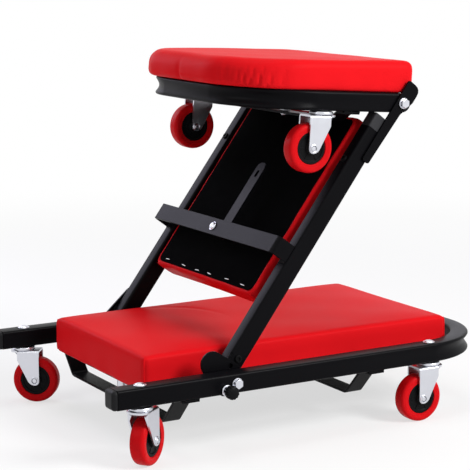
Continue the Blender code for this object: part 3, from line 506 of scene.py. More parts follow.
blackCoat = finish("blackPowderCoat", (0.0024, 0.0023, 0.0031), 0.35, patches=(9, 0.8),
                   tone=0.25, spread=0.07, specular=0.05, bump=(1500, 1.2, 0.22, 0.0002))
redVinyl = finish("redVinyl", (0.68, 0.008, 0.012), 0.42, patches=(14, 0.7),
                  tone=0.06, spread=0.06, specular=0.015, bump=(650, 0.6, 0.32, 0.0004))
brightZinc = finish("brightZinc", (0.64, 0.65, 0.70), 0.30, patches=(70, 0.8),
                    tone=0.05, spread=0.07, metallic=1.0, bump=(900, 0.8, 0.05, 0.0001))
redTyre = finish("redTyre", (0.56, 0.005, 0.008), 0.36, patches=(40, 0.6),
                 tone=0.06, spread=0.07, specular=0.04, bump=(900, 1.0, 0.1, 0.0002))
hubPlastic = finish("hubPlastic", (0.004, 0.004, 0.0045), 0.46, patches=(60, 0.6),
                    tone=0.2, specular=0.07, bump=(1100, 1.0, 0.2, 0.0002))
capPlastic = finish("capPlastic", (0.008, 0.008, 0.009), 0.5, patches=(60, 0.6),
                    tone=0.15, specular=0.12, bump=(1000, 1.0, 0.25, 0.0002))
blockPlastic = finish("blockPlastic", (0.03, 0.03, 0.033), 0.5, patches=(60, 0.6),
                      tone=0.15, specular=0.1, bump=(1000, 1.0, 0.25, 0.0002))
boardBlack = finish("boardBlack", (0.0010, 0.0010, 0.0012), 0.85, patches=(55, 1.2),
                    tone=0.35, spread=0.08, specular=0.01, bump=(1900, 2.0, 0.6, 0.0004))
stapleSteel = finish("stapleSteel", (0.80, 0.80, 0.80), 0.35, patches=(200, 0.6),
                     tone=0.05, metallic=1.0)
print("materials made")


# bent and straight tubes

# outer radius of the bends, and where the seat tube stops past its hinge and at its free end
bow = {"baseBend": 0.110, "seatBend": 0.105, "seatOpen": 0.0020, "seatClosed": -0.232}
# how far the outer wall falls in, which part of the width counts as outer wall, and how the fall fades
pinch = {"depth": 0.0055, "outer": 0.45, "along": 0.7, "height": 0.40, "level": 1.5}


def sectionPoints(width, height):
    # rounded box section, with points down its sides so that a bend can fall in
    corner, turns = tube["corner"], tube["cornerSteps"]
    points = []
    for sideX, sideY, start in ((1, 1, 0), (-1, 1, 90), (-1, -1, 180), (1, -1, 270)):
        middleX, middleY = sideX * (width / 2 - corner), sideY * (height / 2 - corner)
        for step in range(turns + 1):
            angle = radians(start + 90 / turns * step)
            points.append((middleX + corner * cos(angle), middleY + corner * sin(angle), 0))
        if sideX != sideY:
            for step in range(1, tube["sideSteps"]):
                points.append((sideX * width / 2, middleY - 2 * middleY * step / tube["sideSteps"], 0))
    return points


def sweptTube(name, path, width):
    # the section carried along a flat path, made a mesh and left open at both ends
    outline = lineCurve("tubeSection", sectionPoints(width, tube["height"]), "2D")
    outline.splines[0].use_cyclic_u = True
    section = fresh("tubeSection", outline)
    curve = lineCurve(name, [(x, y, 0) for x, y in path], "2D")
    curve.fill_mode = "NONE"
    curve.bevel_mode = "OBJECT"
    curve.bevel_object = section
    piece = madeMesh(fresh(name, curve))
    bpy.data.objects.remove(section)
    tidyNormals(piece)
    return piece


def wallUp(piece):
    thickened(piece, tube["wall"])
    smoothAs(piece, "edge")


def bentTube(name, openX, closedX, halfWidth, bend, width):
    # a U in plan; the outer wall falls in round the bends, as thin tube does on a bender
    way = 1 if closedX > openX else -1
    radius = bend - width / 2
    centreX, centreY = closedX - way * bend, halfWidth - bend
    steps = tube["bendSteps"]
    path = [(openX, -(centreY + radius))]
    for side, start in ((-1, -pi / 2), (1, 0)):
        for step in range(steps + 1):
            angle = start + (pi / 2) * step / steps
            path.append((centreX + way * radius * cos(angle), side * centreY + radius * sin(angle)))
    path.append((openX, centreY + radius))
    piece = sweptTube(name, path, width)
    for vertex in piece.data.vertices:
        spot = vertex.co
        side = 1 if spot.y > 0 else -1
        along, across = (spot.x - centreX) * way, (spot.y - side * centreY) * side
        out = hypot(along, across)
        if along <= 0 or across <= 0 or out < radius + width * pinch["outer"]:
            continue
        share = sin(2 * atan2(across, along)) ** pinch["along"]
        level = max(0.0, 1 - (spot.z / (tube["height"] * pinch["height"])) ** 2) ** pinch["level"]
        fall = pinch["depth"] * share * level / out
        spot.x -= way * along * fall
        spot.y -= side * across * fall
    wallUp(piece)
    return piece


def buildTubes():
    base = bentTube("baseTube", baseLow.x, baseHigh.x, baseHigh.y, bow["baseBend"], tube["baseWidth"])
    putOn(base, "baseTube", "base", blackCoat, Matrix.Translation((0, 0, railZ)), "base_frame")
    ends = bow["seatOpen"], bow["seatClosed"]
    seat = bentTube("seatTube", *ends, foldOuterY, bow["seatBend"], tube["foldWidth"])
    putOn(seat, "seatTube", "seat", blackCoat, seatPlace, "seat_frame")
    for name, side in sides.items():
        low, high = spanOf(f"mid_rail_{name}", midPlace)
        path = [(low.x, side * foldRailY), (high.x, side * foldRailY)]
        rail = sweptTube(f"midRail_{name}", path, tube["foldWidth"])
        wallUp(rail)
        putOn(rail, f"midRail_{name}", "mid", blackCoat, midPlace, f"mid_rail_{name}")
    print("tubes swept")


# flat steel and stop blocks: the CAD shapes with their edges broken

brokenEdge = {"steel": 0.0005, "block": 0.0012, "merge": 0.00002, "flat": radians(2), "sharp": 40}
flatSteel = {
    "base": ("base_bar_left", "base_bar_right"),
    "mid": ("mid_bar", "mid_strap", "hinge_plate_near", "hinge_plate_far", "upper_bracket_near",
            "upper_bracket_far"),
    "seat": ("seat_bar",),
}


def brokenEdges(node, width, segments=2):
    piece = copied(frame["nodes"][node], node + "Edge")
    piece.parent = None
    for key in list(piece.keys()):
        del piece[key]
    piece.matrix_world = Matrix.Identity(4)
    piece.hide_render = False
    editAll(piece)
    bpy.ops.mesh.remove_doubles(threshold=brokenEdge["merge"])
    bpy.ops.mesh.dissolve_limited(angle_limit=brokenEdge["flat"])
    editDone()
    return rounded(piece, width, segments, brokenEdge["sharp"])


def buildFlatSteel():
    for body, nodes in flatSteel.items():
        for node in nodes:
            putOn(brokenEdges(node, brokenEdge["steel"]), node + "_dressed", body, blackCoat, None, node)
    for name in sides:
        node = f"stop_block_{name}"
        putOn(brokenEdges(node, brokenEdge["block"], 3), node + "_dressed", "mid", blockPlastic, None, node)
    print("flat steel dressed")


# plugs in the open ends of the base rails, with well rounded heads

railPlug = {"width": 0.0250, "head": 0.0072, "round": 0.0050, "edge": 0.0012, "stub": 0.012, "slack": 0.0003,
            "overlap": 0.0005, "stubEdge": 0.001, "gap": 0.0002}


def buildPlugs():
    width, head, length = railPlug["width"], railPlug["head"], railPlug["stub"]
    plug = block("railPlug", (head, width, width), (-head / 2, 0, 0))
    pickEdges(plug, lambda first, second: min(first.x, second.x) < -head * atEnd)
    bevelPicked(railPlug["round"], segments=6)
    rounded(plug, railPlug["edge"], angle=50)
    inner = width - 2 * (tube["wall"] + railPlug["slack"])
    stub = block("railStub", (length, inner, inner), (length / 2 - railPlug["overlap"], 0, 0))
    plug = joined([plug, rounded(stub, railPlug["stubEdge"])], "railPlug")
    for name, side in sides.items():
        place = Matrix.Translation((baseLow.x - railPlug["gap"], side * baseRailY, railZ))
        putCopy(plug, f"railPlug_{name}", "base", capPlastic, place, f"base_cap_{name}")
    bpy.data.objects.remove(plug)
    print("rail plugs set")


# round plugs in the ends of the seat tube, a little narrower than the tube

seatPlug = {"lower": 0.0002, "narrower": 0.0006, "tuck": 0.0004, "edge": 0.0012}


def buildSeatEnds():
    radius, half = tube["height"] / 2 - seatPlug["lower"], (tube["foldWidth"] - seatPlug["narrower"]) / 2
    profile = [(0, -half), (radius, -half), (radius, half), (0, half)]
    pattern = turned("seatEnd", profile, turnSteps["large"])
    rounded(pattern, seatPlug["edge"], segments=3, angle=40)
    pattern.data.transform(Matrix.Rotation(pi / 2, 4, "X"))
    for name, side in sides.items():
        place = seatPlace @ Matrix.Translation((bow["seatOpen"] - seatPlug["tuck"], side * foldRailY, 0))
        putCopy(pattern, f"seatEnd_{name}", "seat", capPlastic, place, f"seat_cap_{name}")
    bpy.data.objects.remove(pattern)
    print("seat ends set")


# cushions: foam in vinyl that is drawn round the board and stapled behind

# "grow" lengthens the free and hinge ends and widens the sides; "free" and "hinge" round the corners in plan
# "shoulder" and "under" round the upper and lower edges, at the free end and at the rest
cushionLooks = {
    "base": {"turn": basePlace, "grow": (0.0, 0.0, 0.0), "free": 0.0066, "hinge": 0.0066,
             "shoulder": (0.0060, 0.0060), "under": (0.004, 0.004), "crown": 0.0040, "swell": 0.0035,
             "lean": 0.0, "hem": 0.0035, "fill": 0.8, "seams": True, "sideStaples": True,
             "wrinkle": (-0.1295, 0.020, 0.098)},
    "mid": {"turn": midFront, "grow": (0.004, 0.0, 0.0), "free": 0.013, "hinge": 0.013,
            "shoulder": (0.010, 0.010), "under": (0.006, 0.006), "crown": 0.0040, "swell": 0.0040,
            "lean": 0.0, "hem": 0.0065, "fill": 0.7, "seams": True, "sideStaples": False, "wrinkle": None},
    "seat": {"turn": seatPlace, "grow": (0.0005, 0.0, 0.0015), "free": 0.100, "hinge": 0.016,
             "shoulder": (0.021, 0.010), "under": (0.009, 0.004), "crown": 0.0042, "swell": 0.0012,
             "lean": 0.0052, "hem": 0.049, "fill": 0.8, "seams": False, "sideStaples": True, "wrinkle": None},
}
foam = {"voxel": 0.0045, "held": 0.010, "pressure": 4.0, "quality": 5, "frames": 20, "bulge": 0.0010,
        "noseReach": 0.11, "evenPasses": 40, "leastWay": 0.000001}
# ripples and the top's waves are (depth, length, phase, slant) and (length, phase)
skin = {"draw": 0.0012, "pocket": 0.0017, "backLevel": 0.002, "edge": 0.014, "low": 0.45, "leanFrom": 0.3,
        "ripples": ((0.0004, 0.043, 1.1, 0.8), (0.0003, 0.071, 0.0, -1.0)),
        "topDepth": 0.0004, "topX": (0.15, 0.7), "topY": (0.12, 0.4)}
gather = {"depth": 0.0022, "wide": 0.05, "place": 0.068, "spread": 0.030, "step": 0.0118, "slant": 130,
          "uneven": 1.9, "unevenTurn": 71, "fine": 0.5, "fineStep": 0.0073, "fineSlant": -170,
          "tight": 0.4, "tightStep": 0.006}
# folds are (place, depth), round the wide corners and across the nose
crease = {"depth": 0.0022, "width": 0.0050, "fade": 0.5, "nose": ((0.002, 0.9), (0.080, 0.8)),
          "corner": ((0.030, 0.4), (0.112, 0.8), (0.127, 0.5))}
softFold = {"depth": 0.0011, "width": 0.006, "angle": 0.75, "spread": 0.55}


def bell(value, middle, spread):
    return exp(-((value - middle) / spread) ** 2)


def wave(value, length, phase=0.0):
    return sin(2 * pi * value / length + phase)


def pastCorner(x, y, half, look):
    # the nearest corner's radius, and how far a spot lies past its middle each way
    radius = look["free"] if x < 0 else look["hinge"]
    return radius, abs(x) - (half.x - radius), abs(y) - (half.y - radius)


def edgeDistance(x, y, half, look):
    # how far a spot lies inside the pad's rounded outline
    radius, overX, overY = pastCorner(x, y, half, look)
    if overX > 0 and overY > 0:
        return radius - hypot(overX, overY)
    return min(half.x - abs(x), half.y - abs(y))


def inwards(x, y, half, look):
    # the way straight in from the nearest spot of the outline
    overX, overY = pastCorner(x, y, half, look)[1:]
    sideX, sideY = (1 if x > 0 else -1), (1 if y > 0 else -1)
    if overX > 0 and overY > 0:
        return -Vector((sideX * overX, sideY * overY, 0)).normalized()
    if half.x - abs(x) < half.y - abs(y):
        return Vector((-sideX, 0, 0))
    return Vector((0, -sideY, 0))


def rollOf(look, part, x, half):
    # radius of the upper or lower round, which changes from the free end towards the rest
    free, rest = look[part]
    share = min(1.0, max(0.0, (x + half.x) / foam["noseReach"]))
    return free + (rest - free) * share


def cutToForm(piece, half, height, look):
    # brings every point of the rough block on to the wall, the flat or the quarter round it lies nearest
    for vertex in piece.data.vertices:
        x, y, z = vertex.co
        way = 1 if z > height / 2 else -1
        radius = rollOf(look, "shoulder" if way > 0 else "under", x, half)
        over = radius - edgeDistance(x, y, half, look)
        rise = radius - (height - z if way > 0 else z)
        if over > 0 and rise > 0:
            ease = radius / hypot(over, rise)
            newOver, newRise = over * ease, rise * ease
        elif over >= rise:
            newOver, newRise = radius, rise
        else:
            newOver, newRise = over, radius
        vertex.co -= inwards(x, y, half, look) * (newOver - over)
        vertex.co.z += way * (newRise - rise)


def roundEnds(piece, height, free, hinge, segments):
    # rounds a plate's upright edges, at its free end and then at its hinge end
    for end, radius in ((-1, free), (1, hinge)):
        pickEdges(piece, lambda first, second: abs(first.z - second.z) > height / 2 and first.x * end > 0)
        bevelPicked(radius, segments)


def foamBlock(name, size, look):
    bulge = foam["bulge"]
    length, width, height = size.x - 2 * bulge, size.y - 2 * bulge, size.z - look["crown"]
    piece = block(name, (length, width, height), (0, 0, height / 2))
    roundEnds(piece, height, look["free"], look["hinge"], segments=10)
    remesh = piece.modifiers.new("evenCells", "REMESH")
    remesh.mode = "VOXEL"
    remesh.voxel_size = foam["voxel"]
    applyAll(piece)
    cutToForm(piece, Vector((length / 2, width / 2)), height, look)
    return piece


def evenedOut(ways, edges):
    # taut vinyl shows no small buckles, so each point's way is evened out with its neighbours'
    counts = numpy.ones(len(ways))
    numpy.add.at(counts, edges.ravel(), 1)
    for turn in range(foam["evenPasses"]):
        sums = ways.copy()
        numpy.add.at(sums, edges[:, 0], ways[edges[:, 1]])
        numpy.add.at(sums, edges[:, 1], ways[edges[:, 0]])
        ways = sums / counts[:, None]
    return ways


def puffUp(piece, look):
    # cloth under pressure, held where the board grips it, with every point's way capped
    rest = numpy.array([vertex.co for vertex in piece.data.vertices])
    held = piece.vertex_groups.new(name="held")
    held.add([vertex.index for vertex in piece.data.vertices if vertex.co.z < foam["held"]], 1.0, "REPLACE")
    cloth = piece.modifiers.new("puff", "CLOTH")
    cloth.settings.quality = foam["quality"]
    cloth.settings.use_pressure = True
    cloth.settings.uniform_pressure_force = foam["pressure"]
    cloth.settings.vertex_group_mass = "held"
    cloth.settings.effector_weights.gravity = 0
    for step in range(1, foam["frames"] + 1):
        bpy.context.scene.frame_set(step)
    applyAll(piece)
    bpy.context.scene.frame_set(1)
    ways = numpy.array([vertex.co for vertex in piece.data.vertices]) - rest
    level = numpy.hypot(ways[:, 0], ways[:, 1])
    ease = numpy.minimum(1.0, foam["bulge"] / numpy.maximum(level, foam["leastWay"]))
    ways[:, 0] *= ease
    ways[:, 1] *= ease
    ways[:, 2] = numpy.clip(ways[:, 2], 0.0, look["swell"])
    edges = numpy.array([edge.vertices[:] for edge in piece.data.edges])
    for vertex, spot in zip(piece.data.vertices, rest + evenedOut(ways, edges)):
        vertex.co = spot
    piece.vertex_groups.clear()


def gatherDepth(x, y, z, half, look):
    # gathers low on the side where the cover goes round a corner
    radius, overX, overY = pastCorner(x, y, half, look)
    if overX <= 0 or overY <= 0:
        return 0.0
    arc = radius * atan2(overX, overY)
    if radius < gather["wide"]:
        return gather["tight"] * sin(pi * arc / (radius * pi / 2)) * max(0.0, wave(arc, gather["tightStep"]))
    uneven = gather["uneven"] * sin(arc * gather["unevenTurn"])
    depth = wave(arc, gather["step"], uneven + gather["slant"] * z)
    depth += gather["fine"] * wave(arc, gather["fineStep"], gather["fineSlant"] * z)
    return bell(arc, gather["place"], gather["spread"]) * max(0.0, depth)


def creaseDepth(x, y, half, look):
    # a few faint folds up a rounded end and its wide corners
    radius, overX, overY = pastCorner(x, y, half, look)
    if radius < gather["wide"] or overX <= 0:
        return 0.0
    if overY > 0:
        spot, folds = radius * atan2(overX, overY), crease["corner"]
    else:
        spot, folds = y, crease["nose"]
    return sum(depth * bell(spot, place, crease["width"]) for place, depth in folds)


def wrinkleDepth(x, y, wrinkle):
    # one long soft fold in the top, an arc that fades out at both ends
    middleX, middleY, radius = wrinkle
    away, angle = hypot(x - middleX, y - middleY), atan2(y - middleY, x - middleX)
    fade = bell(angle, softFold["angle"], softFold["spread"])
    return softFold["depth"] * bell(away, radius, softFold["width"]) * fade


def pullTight(piece, size, look):
    # sides drawn in between the corners, gathers round the corners, a pocket for the panel behind
    smoother = piece.modifiers.new("smoothSkin", "SUBSURF")
    smoother.levels = 1
    smoother.render_levels = 1
    applyAll(piece)
    half = Vector((size.x / 2, size.y / 2))
    for vertex in piece.data.vertices:
        x, y, z = vertex.co
        inside = edgeDistance(x, y, half, look)
        vertex.co.x -= skin["draw"] * max(0.0, 1 - (y / half.y) ** 2) * (x / half.x)
        vertex.co.y -= skin["draw"] * max(0.0, 1 - (x / half.x) ** 2) * (y / half.y)
        if z < skin["backLevel"] and inside > max(look["hem"], look["under"][0]):
            vertex.co.z += skin["pocket"]
            continue
        edge = bell(max(0.0, inside), 0, skin["edge"])
        low = bell(z, 0, size.z * skin["low"])
        sunk = gather["depth"] * gatherDepth(x, y, z, half, look)
        for depth, length, phase, slant in skin["ripples"]:
            sunk += depth * wave(x + slant * y, length, phase)
        sunk = low * sunk + low ** crease["fade"] * crease["depth"] * creaseDepth(x, y, half, look)
        vertex.co += inwards(x, y, half, look) * edge * sunk
        vertex.co.z += look["lean"] * (x / half.x) * max(0.0, z / size.z - skin["leanFrom"])
        if z > size.z / 2:
            vertex.co.z += skin["topDepth"] * (1 - edge) * wave(x, *skin["topX"]) * wave(y, *skin["topY"])
            if look["wrinkle"]:
                vertex.co.z -= wrinkleDepth(x, y, look["wrinkle"])
    takeHold(piece)
    bpy.ops.object.shade_smooth()


def threadPiece(name, points, radius, swells=()):
    # a thin round line through the points, with a share of its radius at each where swells are given
    curve = lineCurve(name, points, "3D")
    curve.bevel_depth = radius
    curve.bevel_resolution = 2
    curve.use_fill_caps = True
    for point, swell in zip(curve.splines[0].points, swells):
        point.radius = swell
    piece = madeMesh(fresh(name, curve))
    smoothAs(piece, "thread")
    return piece


# corner seams run up the side and then turn over the shoulder
seam = {"radius": 0.0014, "ahead": 0.86, "aside": 0.5, "steps": 12, "turnFrom": 0.72, "turnOver": 0.28,
        "turn": radians(62), "low": 0.003, "short": 0.009, "lookFrom": 0.05, "proud": 0.0001}


def cornerSeams(pad, cushion, size, look):
    # a folded seam up each corner, laid on the finished cover by looking inwards at it
    lines = []
    for sideX, radius in ((-1, look["free"]), (1, look["hinge"])):
        for sideY in (-1, 1):
            middle = Vector((sideX * (size.x / 2 - radius), sideY * (size.y / 2 - radius), 0))
            out = Vector((sideX * seam["ahead"], sideY * seam["aside"], 0)).normalized()
            points = []
            for step in range(seam["steps"] + 1):
                share = step / seam["steps"]
                lift = max(0.0, share - seam["turnFrom"]) / seam["turnOver"] * seam["turn"]
                level = Vector((0, 0, seam["low"] + share * (size.z - look["crown"] - seam["short"])))
                way = out * cos(lift) + Vector((0, 0, sin(lift)))
                hit, spot, normal, index = cushion.ray_cast(middle + level + way * seam["lookFrom"], -way)
                if hit:
                    points.append(spot + normal * seam["proud"])
            if len(points) > 2:
                lines.append(threadPiece(f"{pad}Seam", points, seam["radius"]))
    return joined(lines, f"{pad}CushionSeams")


# the hardboard panel behind each pad, and the wire staples round its edge
panel = {"inset": 0.0010, "thick": 0.0013, "level": 0.0003, "corner": 0.010, "edge": 0.0005}
# strays are (amount, beat): no staple sits quite even
staple = {"half": 0.0045, "crown": 0.0040, "leg": 0.0014, "shoulder": 0.0001, "proud": 0.0003,
          "wire": 0.00045, "step": 0.040, "inset": 0.0055, "endRoom": 0.012, "cornerRoom": 0.8, "shift": 1.9,
          "strayAlong": (0.005, 4.3), "strayAcross": (0.0008, 7.7), "strayTurn": (0.08, 9.1)}


def stray(amount, beat, index, shift):
    return amount * sin(beat * index + shift)


def buildStaples(pad, size, look, place):
    inset, half, step = look["hem"] + staple["inset"], size / 2, staple["step"]
    leg = [(staple["half"], 0, staple["leg"]), (staple["half"], 0, -staple["shoulder"]),
           (staple["crown"], 0, -staple["proud"])]
    pattern = threadPiece("staple", [(-x, y, z) for x, y, z in leg] + leg[::-1], staple["wire"])
    copies = []
    for alongX in (True, False) if look["sideStaples"] else (False,):
        reach, across = (half.x, half.y) if alongX else (half.y, half.x)
        count = int((2 * reach - 2 * inset - staple["endRoom"]) / step) + 1
        for side in (-1, 1):
            for index in range(count) if not alongX else (0, count - 1):
                along = (index - (count - 1) / 2) * step
                along += stray(*staple["strayAlong"], index, staple["shift"] * side)
                drop = side * (across - inset + stray(*staple["strayAcross"], index, side))
                x, y = (along, drop) if alongX else (drop, along)
                if edgeDistance(x, y, half, look) < inset * staple["cornerRoom"]:
                    continue
                turn = stray(*staple["strayTurn"], index, side) + (0 if alongX else pi / 2)
                spot = Matrix.Translation((x, y, panel["level"]))
                twin = copied(pattern, "staple")
                twin.data.transform(spot @ Matrix.Rotation(turn, 4, "Z"))
                copies.append(twin)
    bpy.data.objects.remove(pattern)
    putOn(joined(copies, f"{pad}Staples"), f"{pad}Staples", pad, stapleSteel, place)


def backPanel(pad, size, look, place):
    # let into the pad's back, with eased edges
    inset, thick = look["hem"] + panel["inset"], panel["thick"]
    board = block(f"{pad}Panel", (size.x - 2 * inset, size.y - 2 * inset, thick),
                  (0, 0, panel["level"] + thick / 2))
    free, hinge = (max(look[end] - inset, panel["corner"]) for end in ("free", "hinge"))
    roundEnds(board, thick, free, hinge, segments=8)
    rounded(board, panel["edge"], angle=50)
    putOn(board, f"{pad}Panel", pad, boardBlack, place, f"{pad}_board")


def buildCushions():
    for pad, look in cushionLooks.items():
        place, size = standOn(f"{pad}_cushion", look["turn"])
        freeGrow, hingeGrow, sideGrow = look["grow"]
        size += Vector((freeGrow + hingeGrow, 2 * sideGrow, 0))
        place = place @ Matrix.Translation(((hingeGrow - freeGrow) / 2, 0, 0))
        cushion = foamBlock(f"{pad}Cushion", size, look)
        puffUp(cushion, look)
        pullTight(cushion, size, look)
        if look["seams"]:
            seams = cornerSeams(pad, cushion, size, look)
            putOn(seams, f"{pad}CushionSeams", pad, redVinyl, place)
        buildStaples(pad, size, look, place)
        putOn(cushion, f"{pad}Cushion", pad, redVinyl, place, f"{pad}_cushion")
        backPanel(pad, size, look, place)
        print(pad, "cushion sewn:", len(cushion.data.polygons), "faces")


# hinge bolts with washers and nuts

hexagon = {"chamfer": 0.11, "edge": 0.04}
hingeBolt = {"head": 0.0064, "headHeight": 0.0052, "shank": 0.0039, "washer": 0.0072, "washerHeight": 0.0012,
             "nutHeight": 0.0048, "inHead": 0.001, "thread": 0.0012, "tip": 0.002, "tipShare": 0.8,
             "bore": 0.9, "headRoom": 0.0055, "nutRoom": 0.0045}
washerRim = 0.35


def sixSided(name, radius, height, low):
    # hexagon standing on the level "low", its upper edges chamfered
    letGo()
    middle = (0, 0, low + height / 2)
    bpy.ops.mesh.primitive_cylinder_add(vertices=6, radius=radius, depth=height, location=middle)
    piece = added()
    piece.name = name
    settle(piece)
    pickEdges(piece, lambda first, second: min(first.z, second.z) > low + height * atEnd)
    bevelPicked(radius * hexagon["chamfer"], segments=2)
    return rounded(piece, radius * hexagon["edge"], angle=30)


def washerDisc(name, radius, bore, low, height):
    rim, top = height * washerRim, low + height
    profile = [(bore, low), (radius - rim, low), (radius, low + rim), (radius, top - rim),
               (radius - rim, top), (bore, top)]
    return turned(name, profile, turnSteps["small"], closed=True)


def boltWithNut(name, grip):
    # the washer's underside lies at 0, the shank runs down -Z
    size = hingeBolt
    shank, washer, nutEnd = size["shank"], size["washerHeight"], -grip - size["nutHeight"]
    head = sixSided("boltHead", size["head"], size["headHeight"] - washer, washer)
    profile = [(0, size["inHead"]), (shank, size["inHead"]), (shank, nutEnd - size["thread"]),
               (shank * size["tipShare"], nutEnd - size["tip"]), (0, nutEnd - size["tip"])]
    rod = turned("boltShank", profile, turnSteps["thin"])
    nut = sixSided("boltNut", size["head"], size["nutHeight"] - washer, 0)
    nut.data.transform(Matrix.Translation((0, 0, -grip - washer)) @ Matrix.Rotation(pi, 4, "X"))
    discs = [washerDisc("boltWasher", size["washer"], shank * size["bore"], low, washer)
             for low in (0, -grip - washer)]
    return joined([head, rod, nut, *discs], name)


def buildHingeBolts():
    for node, body, spot in (("lower_pivot", "base", lowerPivot), ("upper_pivot", "mid", upperPivot)):
        low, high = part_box(f"{node}_near")
        seat = low.y + hingeBolt["headRoom"]
        pattern = boltWithNut(node, high.y - hingeBolt["nutRoom"] - seat)
        for name, side in sides.items():
            place = Matrix.Translation((spot.x, side * abs(seat), spot.z)) @ outwards(side)
            putCopy(pattern, f"{node}_{name}Bolt", body, brightZinc, place, f"{node}_{name}")
        bpy.data.objects.remove(pattern)
    print("hinge bolts set")


# spring locks: a collar on the rail and a fluted knob on the pin

# the knob's outline is (share of its radius, distance) from its foot and from its top
springLock = {"collar": 0.82, "bore": 0.0034, "foot": 0.0022, "step": 0.0030, "neck": 0.86, "mouth": 0.74,
              "mouthHeight": 0.0014, "collarEdge": 0.0003, "gap": 0.0004, "knob": 0.0086,
              "knobFoot": ((0.82, 0.0), (0.97, 0.0012), (1.0, 0.0030)),
              "knobTop": ((1.0, 0.0034), (0.94, 0.0014), (0.72, 0.0003)),
              "flutes": 12, "fluteSteps": 4, "fluteDepth": 0.0009, "fluteFrom": 0.8, "fluteEnd": 0.001,
              "pin": 0.003, "pinInKnob": 0.001, "tip": 0.0006, "tipShare": 0.75}


def lockCollar(radius, length):
    bore, neck = springLock["bore"], radius * springLock["neck"]
    profile = [(bore, 0), (radius, 0), (radius, springLock["foot"]), (neck, springLock["step"]),
               (neck, length - springLock["mouthHeight"]), (radius * springLock["mouth"], length),
               (bore, length)]
    collar = turned("lockCollar", profile, turnSteps["middle"], closed=True)
    return rounded(collar, springLock["collarEdge"], angle=30)


def lockPin(name, low, top, tip):
    knob, pin, end = springLock["knob"], springLock["pin"], springLock["fluteEnd"]
    outline = [(pin, low)]
    outline += [(knob * share, low + rise) for share, rise in springLock["knobFoot"]]
    outline += [(knob * share, top - drop) for share, drop in springLock["knobTop"]]
    grip = turned("lockKnob", outline + [(0, top)], springLock["flutes"] * springLock["fluteSteps"])
    for vertex in grip.data.vertices:
        out = hypot(vertex.co.x, vertex.co.y)
        if out > knob * springLock["fluteFrom"] and low + end < vertex.co.z < top - end:
            flute = cos(springLock["flutes"] * atan2(vertex.co.y, vertex.co.x))
            ease = 1 - springLock["fluteDepth"] * max(0.0, flute) / out
            vertex.co.x *= ease
            vertex.co.y *= ease
    profile = [(pin, low + springLock["pinInKnob"]), (pin, tip + springLock["tip"]),
               (pin * springLock["tipShare"], tip), (0, tip)]
    piece = joined([grip, turned("lockStalk", profile, turnSteps["thin"])], name)
    smoothAs(piece, "edge")
    return piece


def buildLocks():
    for name, side in sides.items():
        low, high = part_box(f"lock_collar_{name}")
        pinLow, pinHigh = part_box(f"lock_pin_{name}")
        seat, length = min(abs(low.y), abs(high.y)), high.y - low.y
        place = Matrix.Translation(((low.x + high.x) / 2, side * seat, (low.z + high.z) / 2)) @ outwards(side)
        collar = lockCollar((high.x - low.x) / 2 * springLock["collar"], length)
        putOn(collar, f"lockCollar_{name}", "base", brightZinc, place, f"lock_collar_{name}")
        tip, top = sorted((abs(pinLow.y) - seat, abs(pinHigh.y) - seat))
        pin = lockPin(f"lockPin_{name}", length + springLock["gap"], top, tip)
        putOn(pin, f"lockPin_{name}", f"lock_{name}", hubPlastic, place, f"lock_pin_{name}")
    print("locks set")


# black screws in the rails: one in each foot above the hinge plate, one in each back below the stop block

railScrew = {"foot": 0.0290, "back": 0.3210, "radius": 0.0046, "height": 0.0024, "socket": 0.0023,
             "socketFloor": 0.4, "socketRim": 1.1, "flat": 0.86, "side": 0.8, "sunk": 0.0005}


def buildRailScrews():
    size = railScrew
    radius, height, socket = size["radius"], size["height"], size["socket"]
    profile = [(0, height * size["socketFloor"]), (socket, height * size["socketFloor"]),
               (socket * size["socketRim"], height), (radius * size["flat"], height),
               (radius, height * size["side"]), (radius, -size["sunk"]), (0, -size["sunk"])]
    pattern = turned("railScrew", profile, turnSteps["small"])
    for name, side in sides.items():
        places = {"foot": Matrix.Translation((size["foot"], side * foldOuterY, 0)) @ outwards(side),
                  "back": Matrix.Translation((size["back"], side * foldRailY, tube["height"] / 2))}
        for spot, place in places.items():
            putCopy(pattern, f"{spot}Screw_{name}", "mid", hubPlastic, midPlace @ place)
    bpy.data.objects.remove(pattern)
    print("rail screws set")


# bolts with sleeves that hold the boards off the cross bars

boardBolt = {"sleeve": 0.0075, "bevel": 0.0005, "bolt": 0.0038, "head": 0.0055, "headHeight": 0.0036,
             "washer": 0.0064, "washerHeight": 0.001, "bar": 0.0042, "inBoard": 0.006}
boardPosts = (("base_post_left", "base", basePlace), ("base_post_right", "base", basePlace),
              ("mid_post", "mid", midFront), ("seat_post", "seat", seatPlace))


def buildBoardBolts():
    size = boardBolt
    bolt, wall, seat, bevel = size["bolt"], size["sleeve"], size["headHeight"], size["bevel"]
    rim = seat - size["washerHeight"]
    for node, body, turn in boardPosts:
        place, room = standOn(node, turn)
        low, top = seat + size["bar"], room.z - size["inBoard"]
        profile = [(bolt, low), (wall - bevel, low), (wall, low + bevel), (wall, top - bevel),
                   (wall - bevel, top), (bolt, top)]
        sleeve = turned("boardSleeve", profile, turnSteps["small"], closed=True)
        profile = [(0, room.z), (bolt, room.z), (bolt, seat), (0, seat)]
        shank = turned("boardShank", profile, turnSteps["thin"])
        dome = [(size["head"] * sin(angle), rim * (1 - cos(angle))) for angle in quarterTurn]
        head = turned("boardHead", dome + [(0, rim)], turnSteps["small"])
        washer = washerDisc("boardWasher", size["washer"], bolt, rim, size["washerHeight"])
        piece = joined([sleeve, shank, head, washer], node + "Bolt")
        putOn(piece, node + "Bolt", body, brightZinc, place, node)
    print("board bolts set")


# casters, built once round the stem and copied to six places

